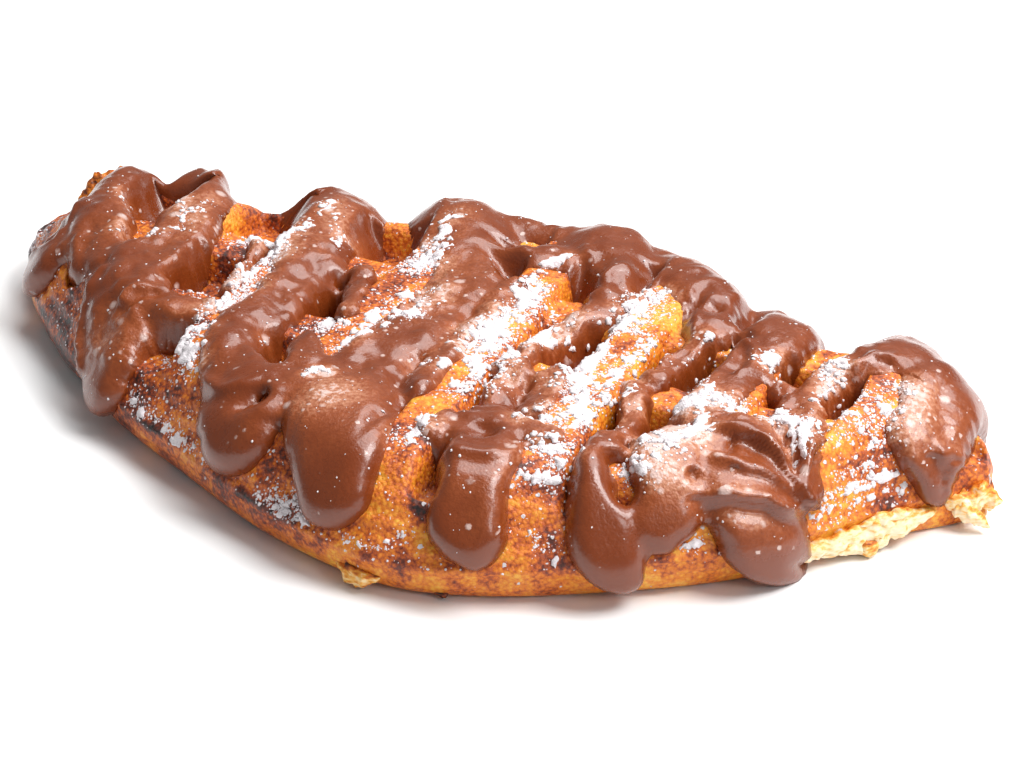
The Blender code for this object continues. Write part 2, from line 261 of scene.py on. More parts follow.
# %% Ribbons of spread: x, y, half width, thickness, fill
RIBBONS = {
    "end_drape": [(-86.5, 13, 3.8, 2.0, 0.9), (-88.6, 6, 5.0, 2.4, 0.9), (-90.2, 1.8, 5.6, 3.0, 1),
                  (-91.2, -1.0, 5.2, 3.2, 1)],
    "left_mass": [(-90.5, 44, 5.6, 5.0, 1), (-89.2, 34, 6.2, 6.0, 1), (-86, 25, 6.2, 4.4, 0.9),
                  (-84.5, 16, 6.0, 3.0, 0.9), (-81.5, 7, 6.0, 2.6, 0.9), (-78, 0, 6.0, 2.4, 1)],
    "left_web": [(-84, 4, 5.0, 2.2, 0.9), (-76, -2, 5.0, 2.2, 0.9), (-70, -4, 5.5, 2.4, 0.9),
                 (-64, -3, 4.0, 2.2, 0.9)],
    "left_fall": [(-72, -3, 7.0, 2.4, 0.9), (-66, -14, 9.0, 2.4, 1), (-64.8, -19.5, 9.6, 2.4, 1),
                  (-64.6, -24, 9.0, 2.6, 1), (-63.4, -28.5, 7.0, 3.0, 1), (-63, -32, 5.0, 3.4, 1)],
    "left_ridge": [(-77, 44, 5.0, 6.0, 1), (-75, 34, 5.6, 7.5, 1), (-70.5, 22, 6.4, 3.6, 0.9),
                   (-67, 12.5, 6.4, 2.8, 0.8), (-65, 5, 6.0, 2.4, 0.8), (-65, -2, 4.5, 2.2, 0.8)],
    "left_pool": [(-66, -11, 4.0, 2.2, 0.9), (-60, -15, 4.5, 2.4, 0.9), (-53, -16.5, 4.0, 2.2, 0.9),
                  (-49, -16, 3.0, 1.8, 0.9)],
    "first_finger": [(-52, 11, 1.9, 1.5, 0.7), (-50.7, 2.2, 2.1, 1.6, 0.6), (-49.6, -6, 2.0, 1.5, 0.6)],
    "second_fall": [(-48, 46, 7.0, 4.5, 1), (-47.5, 37, 8.2, 6.0, 1), (-46, 28, 8.4, 4.6, 1),
                    (-43, 19, 7.8, 3.2, 0.9), (-41, 11, 6.5, 2.6, 0.9), (-39.4, 3.7, 6.0, 2.4, 0.9),
                    (-38.5, -8.4, 5.2, 2.2, 0.8), (-39.5, -18.2, 5.0, 2.2, 0.8), (-38, -25.4, 5.9, 2.4, 1),
                    (-34.5, -32, 6.4, 2.8, 1), (-31.3, -36.5, 8.2, 3.2, 1), (-29.5, -41, 8.6, 3.8, 1),
                    (-29, -43.5, 7.2, 4.0, 1)],
    "second_finger": [(-30, 8.3, 2.6, 1.7, 0.7), (-28, -1, 2.6, 1.7, 0.6), (-25.8, -7, 2.2, 1.7, 0.6)],
    "second_lump": [(-28, -20, 3.4, 2.2, 0.8), (-24, -27, 4.0, 2.4, 0.9)],
    "lobe_join": [(-26, -32, 4.0, 2.6, 1), (-20, -32, 4.0, 2.6, 1)],
    "middle_fall": [(-28, 52, 7.0, 5.0, 1), (-26, 44, 8.0, 7.0, 1), (-21.5, 33, 8.4, 5.0, 1),
                    (-17, 23, 7.6, 3.2, 1), (-11.5, 13, 6.2, 2.3, 1), (-11.5, 3, 6.4, 2.2, 1),
                    (-12, -6, 6.8, 2.4, 1), (-13, -13, 7.2, 2.6, 1), (-14, -20, 7.4, 2.6, 1),
                    (-13.9, -26.5, 8.0, 2.6, 1), (-13.5, -32.6, 8.8, 3.0, 1), (-11.5, -41, 9.2, 3.4, 1),
                    (-9.4, -46, 8.4, 3.6, 1), (-8, -50.5, 7.2, 3.9, 1), (-7.5, -52.5, 6.6, 3.9, 1)],
    "back_film": [(-16, 40, 5.5, 3.2, 1), (-8, 39, 5.5, 2.4, 1), (0, 39, 5.5, 2.6, 1)],
    "left_saddle": [(-88, 40, 4.0, 5.0, 1), (-82, 40, 3.6, 4.0, 1), (-75, 40, 4.0, 5.5, 1)],
    "middle_web": [(-14, 24, 4.0, 1.8, 0.9), (-4, 24, 4.0, 1.6, 0.9), (6, 27, 4.0, 2.0, 0.9)],
    "channel": [(-4, 12, 3.0, 1.4, 0.7), (-4, 0, 3.2, 1.6, 0.6), (-5, -12, 3.4, 1.8, 0.6),
                (-5, -26, 4.0, 2.0, 0.8)],
    "fourth_hump": [(-1, 50, 6.5, 4.0, 1), (3, 41, 7.5, 5.0, 1), (8, 31, 7.5, 4.0, 1),
                    (12, 22, 6.5, 3.0, 1), (14, 13, 4.6, 2.2, 0.9)],
    "fourth_finger": [(13, 9, 3.2, 1.8, 0.8), (10, 2, 3.2, 1.7, 0.7), (7.5, -6, 3.0, 1.6, 0.7)],
    "front_finger_a": [(7.5, -13, 3.2, 2.0, 0.7), (8.5, -21, 3.6, 2.2, 0.7), (10, -28, 3.6, 2.2, 0.8)],
    "front_finger_b": [(14.5, -13, 2.6, 1.8, 0.7), (14.5, -19, 3.2, 2.0, 0.8), (15, -25, 2.8, 2.0, 0.8)],
    "front_pool": [(4, -37, 3.0, 1.8, 0.9), (8, -33.5, 3.6, 2.0, 0.9), (15, -32, 3.6, 2.0, 0.9),
                   (21, -33, 3.0, 1.7, 0.9)],
    "fourth_fall": [(11, -33, 4.6, 2.2, 1), (12.4, -38, 6.4, 2.8, 1), (13.2, -42, 6.8, 3.2, 1),
                    (14, -46, 5.8, 3.5, 1), (14.5, -50, 6.0, 3.9, 1), (14.8, -53.5, 6.4, 4.1, 1)],
    "fifth_hump": [(14, 49, 6.5, 3.2, 1), (18, 41, 8.0, 3.8, 1), (25, 31, 8.0, 3.6, 1),
                   (30, 22, 7.0, 3.0, 1), (33, 13, 5.0, 2.2, 0.9)],
    "fifth_finger": [(33, 8, 3.5, 1.8, 0.8), (31.5, 0, 3.0, 1.8, 0.7), (30.5, -8, 3.0, 1.8, 0.7)],
    "fifth_lump": [(28.6, -12.6, 2.6, 2.0, 0.7), (30.2, -19.6, 2.8, 2.2, 0.8), (31.6, -26, 3.0, 2.2, 0.9)],
    "fifth_fall": [(30.3, -30, 2.8, 2.4, 1), (31, -34, 3.8, 3.0, 1), (32, -38, 4.8, 3.5, 1),
                   (33, -42, 5.2, 3.8, 1), (34.4, -45.5, 5.8, 4.0, 1), (35.2, -48.5, 5.8, 4.2, 1)],
    "fifth_side": [(39.5, -26, 5.2, 2.4, 1), (40.5, -30, 5.6, 2.8, 1), (41.5, -34, 6.0, 3.3, 1),
                   (42, -37.5, 5.6, 3.6, 1), (41, -41, 4.6, 3.6, 1)],
    "sixth_hump": [(40, 39, 6.0, 2.8, 1), (39.6, 29, 7.0, 3.6, 1), (44, 20, 7.0, 3.6, 1),
                   (44.5, 11, 6.0, 2.8, 1), (42.5, 2, 5.0, 2.4, 0.9), (41.5, -8, 4.8, 2.4, 0.9),
                   (41, -17, 5.0, 2.2, 0.9)],
    "dark_pocket": [(51, -2, 3.2, 1.4, 0.3), (54, -7, 3.4, 1.8, 0.5), (55.5, -13, 4.0, 2.0, 0.8)],
    "sixth_fall": [(50, -20, 6.0, 2.2, 1), (52, -24.5, 7.4, 2.6, 1), (53, -28.5, 7.9, 3.4, 1),
                   (53.8, -32, 7.4, 3.9, 1), (54.2, -35.5, 6.0, 4.2, 1), (54.8, -37.5, 5.0, 4.2, 1)],
    "right_band": [(54.5, -4, 3.0, 1.8, 0.9), (57.6, -13.5, 2.6, 1.9, 1), (59, -19, 2.2, 1.9, 1),
                   (60, -24, 2.0, 1.9, 1)],
    "right_ridge": [(63, 36, 6.5, 4.5, 1), (63, 27, 8.0, 5.6, 1), (65, 18, 7.5, 3.6, 1),
                    (61, 10.5, 4.8, 2.4, 0.9), (56, 4, 3.6, 2.0, 0.9), (54, -3, 3.2, 2.0, 0.9)],
    "right_end": [(74, 24, 5.0, 4.0, 1), (74, 15, 6.2, 4.4, 1), (74, 6, 6.4, 3.0, 1),
                  (74.2, 0.6, 5.6, 2.9, 1), (73.6, -2.8, 5.0, 3.0, 1), (73.2, -4.6, 4.8, 3.0, 1)],
}

# Thin raised lips and folds on the spread: the line, its height and its half width
LIPS = {
    "pool_lip": ([(-63.2, -16.3), (-62.8, -14.4), (-61.3, -13.4), (-58.5, -12.6), (-55.1, -12.3),
                  (-47.8, -13.0)], 1.3, 0.95),
    "drape_edge": ([(-88.5, 13.7), (-88.5, 3.9), (-93.3, 3.3), (-96.1, 0.6)], 0.7, 0.95),
    "left_edge": ([(-72.8, -7.3), (-72.9, -11.5), (-73.2, -16.3), (-72.2, -21.5), (-69.3, -27.4)], 0.8, 0.95),
    "right_edge": ([(-53.4, -22.3), (-54.5, -25.0), (-55.8, -28.4), (-57.5, -34.9)], 0.7, 0.95),
    "lobe_top": ([(-39.2, -33.7), (-33.4, -36.4), (-29.9, -35.7), (-27.1, -35.8), (-21.7, -36.5)], 0.7, 1.0),
    "drip_top": ([(6.4, -44.3), (7.9, -43.5), (14.2, -42.7), (17.7, -40.9), (19.2, -39.1)], 1.0, 0.95),
    "third_fold": ([(-52.4, 14.9), (-50.9, 19.9), (-49.8, 26.6)], 1.6, 0.98),
    "fourth_fold": ([(-23.8, 15.4), (-26.4, 24.9), (-26.7, 32.6)], 1.7, 1.17),
    "hump_fold": ([(3.8, 28.5), (7.8, 21.3), (10.3, 18.9), (11.1, 21.3), (13.2, 23.3), (17.0, 22.6),
                   (17.8, 26.0)], 1.7, 0.95),
    "arch": ([(21.3, 23.2), (24.8, 20.9), (28.0, 16.9), (30.5, 9.1)], 1.4, 0.98),
    "ring": ([(37.5, 7.0), (39.8, 7.1), (42.8, 4.2), (44.5, -1.6), (43.3, -3.9)], 1.4, 0.95),
    "curl": ([(44.2, -24.0), (45.5, -22.0), (48.0, -21.0), (50.4, -20.2), (53.3, -20.4), (55.5, -20.9),
              (58.3, -23.9), (59.5, -25.3)], 2.0, 0.95),
    "inner_curl": ([(47.3, -27.4), (50.9, -26.7), (53.8, -25.6), (56.9, -25.6), (58.6, -25.9)], 1.1, 0.95),
    "second_curl": ([(47.2, -33.8), (49.6, -32.0), (51.4, -31.3), (54.2, -29.6), (56.2, -29.4),
                     (60.6, -26.0)], 1.6, 0.95),
    "band_edge": ([(59.6, -16.4), (59.0, -18.9), (59.3, -22.1), (60.3, -24.7)], 0.8, 0.95),
    "end_fold": ([(59.8, 6.5), (61.7, 9.7), (64.5, 10.2), (67.1, 8.5)], 1.3, 0.95),
    "end_curl": ([(75.7, -2.8), (77.4, -1.1), (79.3, 0.1), (77.5, -2.5)], 1.0, 0.95),
}

# Hollows in the spread: x, y, radius, depth
HOLLOWS = [(11.9, -36.6, 2.6, 1.8), (46.7, -24.5, 2.6, 1.6), (44.7, -32.2, 1.0, 1.4), (17.5, 21.2, 1.4, 1.8),
           (15, 18, 2.4, 1.2), (26.9, 16.5, 2.2, 1.6), (31.4, 16.8, 1.8, 1.6), (39.3, 8.4, 2.0, 2.0),
           (65.5, 8.9, 1.8, 1.4), (8, 25, 2.0, 1.5)]


# %% [markdown]
# ## From ribbons to a surface
# A point's distance inside the nearest ribbon edge decides everything: outside there is no
# spread, just inside the surface turns up steeply like the rim of a drop, and further in it is
# the full thickness. This is one formula for drips, bands and pools alike. Real spread could be
# poured with a fluid simulation, but traced ribbons put each drip where the photograph has it.

# %% Distance to a line
def near_line(flat, line):
    """Nearest place on a line of points: distance, the line's own values there, and the side."""
    best = np.full(flat.shape[:-1], 1e9)
    values = np.zeros(flat.shape[:-1] + (line.shape[1] - 2,))
    side = np.ones(flat.shape[:-1])
    for a, b in zip(line[:-1], line[1:]):
        step = b[:2] - a[:2]
        rel = flat - a[:2]
        t = np.clip((rel @ step) / (step @ step), 0.0, 1.0)
        gap = np.linalg.norm(rel - t[..., None] * step, axis=-1)
        closer = gap < best
        best = np.where(closer, gap, best)
        values = np.where(closer[..., None], a[2:] + t[..., None] * (b - a)[2:], values)
        side = np.where(closer, np.sign(step[0] * rel[..., 1] - step[1] * rel[..., 0]), side)
    return best, values, side


# %% Where the spread lies
# Places that it left open: x, y, radius
OPENINGS = [(-77.5, 15.5, 2.0), (-78, 20.5, 2.6), (-78, 26, 2.2), (33.4, -34.2, 1.2),
            (34.8, -36.2, 1.4), (36.2, -38.4, 1.3), (-26.4, -37.5, 0.9), (41, -21.5, 1.0)]
HUMP_FOOT = 0.22  # a ribbon is wider by this share where it is a hump at the back
JOIN = 0.9  # how widely the corner between two ribbons is rounded
FELT = 22.0  # a ribbon counts up to this distance
DRIP_FROM, DRIP_TO = 2.5, 3.4  # thickness from which spread is a smooth drip


def spread_fields(flat, at):
    """How far inside the spread each point lies, with its thickness, fill and half width.

    Ribbons join by the logarithm of summed exponentials, which rounds the corner between them.
    Thickness, fill and half width are means, weighted by how far inside each ribbon the point is.
    """
    total = np.zeros(flat.shape[:-1])
    mixed = np.zeros(flat.shape[:-1] + (3,))
    weight = np.full(flat.shape[:-1], 1e-9)
    for knots in RIBBONS.values():
        knots = np.array(knots, float)
        line = curve_through(knots, 5 * len(knots))
        low, high = line[:, :2].min(axis=0) - FELT, line[:, :2].max(axis=0) + FELT
        part = np.all((flat > low) & (flat < high), axis=-1)
        gap, values, _ = near_line(flat[part], line)
        inside = values[:, 0] * (1.0 + HUMP_FOOT * smooth_step(flat[part][:, 1], 14.0, 28.0)) - gap
        total[part] += np.exp(inside / JOIN)
        share = np.exp(np.minimum(inside, 6.0) / 1.6)
        weight[part] += share
        mixed[part] += share[:, None] * values[:, [1, 2, 0]]
    inside = JOIN * np.log(total + 1e-9)
    for x, y, radius in OPENINGS:
        inside = lower_of(inside, np.hypot(flat[..., 0] - x, flat[..., 1] - y) - radius, 1.5)
    thick, fill, half = np.moveaxis(mixed / weight[..., None], -1, 0)
    smooth = smooth_step(thick, DRIP_FROM, DRIP_TO)
    ragged = 0.7 * rough(at, 3.6, 21) + 0.25 * noise(at, 0.9, 25)
    return inside + ragged * (1.0 - 0.85 * smooth), thick, fill, half


# %% [markdown]
# ## The skin of the crust
# A croissant is rolled from thin layers, and hot iron blisters them. So the pressed surface gets
# broad and fine noise, waves on its sides that follow the seam, and a low ragged flash of
# squeezed dough at the seam itself. A displacement modifier could do this, but then the spread
# and the sugar wouldn't know where the crust is.

# %% Crust
TIP_SINK = 9.0  # how much of the pockets' depth is lost at a tip of no height
POCKET_FLOOR = 4.0  # least height of a pocket's floor
LAYER = 2.6  # height of one wave of layers


def crust_skin(points, rows):
    """Places and normals of the crust: the smooth minimum of body and plate, then roughened.

    Each point then moves along its normal by noise, by a sine of its height on the sides, and
    by a bell curve round the seam's height.
    """
    closed = 3 in rows
    x, y = wandering(points[..., :2])
    z = points[..., 2]
    above = rows[None, :] != 3
    pressed = plate_height(x, y) + 0.5 * noise(points, 13.0, 5)
    # Pockets stay shallow near both tips, where the croissant is thin
    floor_lift = (1.0 - tip_share(points[..., 0])) * TIP_SINK
    z_top = lower_of(z, np.maximum(pressed - floor_lift, POCKET_FLOOR), 1.6)
    plan = points[..., :2]
    back_foot = rows.searchsorted(3) - 1
    from_edge = np.minimum(np.linalg.norm(plan - plan[:, :1], axis=2),
                           np.linalg.norm(plan - plan[:, [back_foot]], axis=2))
    deep = smooth_step(from_edge, 12.0, 16.0) * UNDER_DEPTH
    z_under = deep * (1.0 - np.clip((plate_height(x, y) - TOP_Z + POCKET_DEPTH) / 5.0, 0.0, 1.0))
    skin = points.copy()
    skin[..., 2] = np.where(above, np.where(z < SEAM_Z, z, z_top), z_under)
    out = normals_of(skin, closed)
    high = smooth_step(z, 0.5, 4.0) * above
    side = (1.0 - smooth_step(z, 16.0, 20.0)) * above
    layers = np.sin(2 * math.pi * (z / LAYER + 0.8 * noise(points * (0.25, 0.25, 1.0), 6.0, 8)))
    lift = 0.35 * rough(points, 9.0, 11) * high + 0.16 * rough(points, 2.6, 14) * high
    lift += 0.13 * layers * side * smooth_step(z, 1.5, 4.0)
    seam = np.exp(-((z - SEAM_Z - 0.5 * noise(points, 12.0, 17)) / 0.8) ** 2) * side
    lift += seam * (0.45 + 0.45 * noise(points, 5.0, 18))
    return skin + out * lift[..., None], out


# %% [markdown]
# ## The skin of the spread
# Warm spread sinks into the pockets a little, stands up in lips where the knife left it, and
# hangs in smooth thick drips. Its surface is the crust's body softened, plus a thickness along
# the normal, plus traced lips and hollows.

# %% Spread
TOP_THIN = 0.82  # share of the thickness on the flat top, away from drips and humps
TOP_FILL = 0.74  # share of the filling there
CEILING = CAD_BOX[1][2] / MM - 0.5  # the spread stays just under the solid's top
LEAST = 0.35  # the spread is nowhere thinner than this
TUCK = 0.12  # its rim goes this deep into the crust


def spread_skin(points, flat, crust, out):
    """Outer face of the spread and how far inside its edge each point lies.

    The face rises from the crust at the rim by a quarter circle, so that the rim is steep and
    the middle is level: rise = sqrt(1 - (1 - depth inside / reach) squared). The humps at the
    back rise by a quarter of a sine instead, which gives them sloping flanks and a crest.
    """
    inside, thick, fill, half = spread_fields(flat, points)
    x, y = wandering(points[..., :2])
    softened = plate_height(x, y, 5.5, 6.0) - (1.0 - tip_share(points[..., 0])) * TIP_SINK
    carried = points.copy()
    low = lower_of(points[..., 2], np.maximum(softened, POCKET_FLOOR), 2.5)
    hump = smooth_step(flat[..., 1], 12.0, 24.0)
    drip = smooth_step(thick, DRIP_FROM, DRIP_TO) * (1.0 - hump)
    full = np.maximum(drip, hump)
    fill = np.clip(fill, 0.0, 1.0) * (TOP_FILL + (1.0 - TOP_FILL) * full)
    carried[..., 2] = low + (points[..., 2] - low) * fill
    body = thick * (1.0 + 0.10 * noise(points, 7.0, 31)) * (TOP_THIN + (1.0 - TOP_THIN) * full)
    crease = 0.5 - np.abs(rough(points, 5.0, 38, 2)) * 1.6
    body += (1.0 - drip) * (0.75 * rough(points, 6.0, 33) + 0.2 * rough(points, 2.0, 36, 2) + 0.3 * crease)
    for line, height, width in LIPS.values():
        gap, _, side = near_line(flat, curve_through(np.array(line, float), 8 * len(line)))
        gap = gap * side
        body += height * np.exp(-(gap / width) ** 2)
        body -= 0.55 * height * np.exp(-((gap + 2.0 * width) / (1.5 * width)) ** 2)
    for hx, hy, radius, depth in HOLLOWS:
        body -= depth * np.exp(-(((flat[..., 0] - hx) ** 2 + (flat[..., 1] - hy) ** 2) / radius ** 2) ** 2)
    face = carried + normals_of(points) * body[..., None]
    face[..., 2] = lower_of(face[..., 2], CEILING, 3.0)
    gain = ((face - crust) * out).sum(axis=2)
    face += out * np.maximum(LEAST - gain, 0.0)[..., None]
    reach = np.clip(0.62 * half, 1.6, 5.5) * (1.0 - hump) + 1.1 * half * hump
    share = np.clip(inside / reach, 0.0, 1.0)
    rise = np.sqrt(1.0 - (1.0 - share) ** 2) * (1.0 - hump) + np.sin(0.5 * math.pi * share) * hump
    return crust + (face - crust) * rise[..., None] - out * (TUCK * (rise < 0.02))[..., None], inside


# %% [markdown]
# ## Meshes from grids
# The crust is the whole grid, closed under the pastry and at both tips. Spread and sugar are
# only the part of the grid where they lie: points near the rim are moved onto it first, so the
# rim is a clean line and not a staircase, and an inner sheet just under the crust closes the
# shell.

# %% A mesh from arrays
BOX_GAP = 0.02  # every piece stays this far inside the solid's box


def piece_from(name, points, quads, triangles=()):
    """Smooth-shaded mesh object from points in millimetres, kept inside the solid's box."""
    low = np.array(CAD_BOX[0]) / MM + BOX_GAP
    high = np.array(CAD_BOX[1]) / MM - BOX_GAP
    points = np.clip(points, low, high)
    corners = np.concatenate([np.ravel(quads), np.ravel(triangles)]).astype(np.int32)
    sizes = np.concatenate([np.full(len(quads), 4), np.full(len(triangles), 3)])
    mesh = bpy.data.meshes.new(name)
    mesh.vertices.add(len(points))
    mesh.vertices.foreach_set("co", np.ravel(points * MM).astype(np.float32))
    mesh.loops.add(len(corners))
    mesh.loops.foreach_set("vertex_index", corners)
    mesh.polygons.add(len(sizes))
    mesh.polygons.foreach_set("loop_start", np.concatenate([[0], np.cumsum(sizes)[:-1]]).astype(np.int32))
    mesh.polygons.foreach_set("use_smooth", np.ones(len(sizes), bool))
    mesh.update(calc_edges=True)
    piece = bpy.data.objects.new(name, mesh)
    bpy.context.scene.collection.objects.link(piece)
    print(name, len(points), "points,", int((sizes - 2).sum()), "triangles, reaches",
          points.min(axis=0).round(1), points.max(axis=0).round(1))
    return piece


def paint(piece, name, values):
    """Stores one number per point, which a material reads by this name."""
    layer = piece.data.attributes.new(name, "FLOAT", "POINT")
    layer.data.foreach_set("value", np.ravel(values).astype(np.float32))


# %% A shell over part of a grid
def resample(values, i, j):
    """Values at fractional grid places, blended between the four corners."""
    i = np.clip(i, 0, values.shape[0] - 1.001)
    j = np.clip(j, 0, values.shape[1] - 1.001)
    a, b = i.astype(int), j.astype(int)
    u, v = i - a, j - b
    if values.ndim == 3:
        u, v = u[..., None], v[..., None]
    low = values[a, b] * (1 - v) + values[a, b + 1] * v
    high = values[a + 1, b] * (1 - v) + values[a + 1, b + 1] * v
    return low * (1 - u) + high * u


def onto_rim(field, *layers):
    """Which points to keep, and the layers with the points next to the rim moved onto it.

    The rim is where the field is zero. A point's way to it is minus the field times its slope,
    over the slope squared, if that is under half a step of the grid.
    """
    gi, gj = np.gradient(field)
    size = np.maximum(gi ** 2 + gj ** 2, 1e-9)
    di, dj = -field * gi / size, -field * gj / size
    near = (np.abs(di) < 0.5) & (np.abs(dj) < 0.5)
    i, j = np.indices(field.shape).astype(float)
    i, j = i + np.where(near, di, 0.0), j + np.where(near, dj, 0.0)
    keep = near | (field > 0.0)
    return keep, [resample(layer, i, j) for layer in layers]


def shell(name, keep, outer, inner, *painted):
    """Closed shell over the kept grid points: outer face, inner face turned round, and rim."""
    a, b = (slice(None, -1), slice(1, None))
    corner = np.stack([keep[a, a], keep[b, a], keep[b, b], keep[a, b]], axis=-1)
    number = np.arange(keep.size).reshape(keep.shape)
    ids = np.stack([number[a, a], number[b, a], number[b, b], number[a, b]], axis=-1)
    full = corner.sum(axis=-1) == 4
    three = corner.sum(axis=-1) == 3
    quads = ids[full]
    missing = np.argmin(corner[three], axis=-1)
    order = (missing[:, None] + np.array([1, 2, 3])) % 4
    triangles = np.take_along_axis(ids[three], order, axis=1)
    used = np.unique(np.concatenate([quads.ravel(), triangles.ravel()]))
    index = np.full(keep.size, -1)
    index[used] = np.arange(len(used))
    quads, triangles = index[quads], index[triangles]
    edges = np.concatenate([np.stack([f, np.roll(f, -1, axis=1)], axis=2).reshape(-1, 2)
                            for f in (quads, triangles)])
    count = len(used)
    key, back = edges[:, 0] * count + edges[:, 1], edges[:, 1] * count + edges[:, 0]
    rim = edges[~np.isin(key, back)]
    wall = np.stack([rim[:, 1], rim[:, 0], rim[:, 0] + count, rim[:, 1] + count], axis=1)
    points = np.concatenate([outer.reshape(-1, 3)[used], inner.reshape(-1, 3)[used]])
    piece = piece_from(name, points, np.concatenate([quads, quads[:, ::-1] + count, wall]),
                       np.concatenate([triangles, triangles[:, ::-1] + count]))
    for label, values in painted:
        paint(piece, label, np.tile(values.ravel()[used], 2))
    return piece


# %% [markdown]
# ## Where the crust is darker, and where the sugar fell
# Three more traced layouts in flat addresses: browning, heavy sugar and light dust, where the
# light dust also holds three spots of painted highlight on the drips. They make smooth fields,
# which fine noise in the meshes and materials breaks into clumps and speckles.

# %% Browner (above 0) or paler (below 0) places: x, y, radius, amount
BROWNING = [(-50, -32, 9, 0.10), (-58, -36, 8, 0.08), (-42, -44, 7, 0.12), (-78, -24, 9, 0.10),
            (-86, -14, 9, 0.16), (-93, -6, 8, -0.22), (-99, 6, 6, -0.15), (-22, -52, 8, 0.10),
            (0, -50, 6, -0.20), (-3, -42, 2.6, 0.25), (0, -39.5, 2.6, 0.22),
            (4, -39.5, 2.6, 0.22), (6.5, -43, 2.6, 0.25),
            (6.5, -50.5, 1.9, 0.80), (7.3, -53.5, 1.4, 0.70), (-16, -58, 5, 0.20), (3, -60, 5, 0.12),
            (22, -48, 7, -0.10), (24, -42, 4, 0.20), (66, -10, 9, -0.10), (66, -22, 6, -0.12),
            (55, -2, 6, 0.30), (11, -22, 7, 0.25), (33, -24, 6, 0.30), (33, -4, 6, 0.2),
            (-33, -22, 6, 0.20), (4, 14, 5, -0.25), (25, 14, 5, -0.25), (2, -17, 3, -0.2),
            (26, -5, 4, -0.2), (-60, 0, 5, -0.15), (-78, 11, 4, -0.30), (-36, -6, 5, -0.15)]

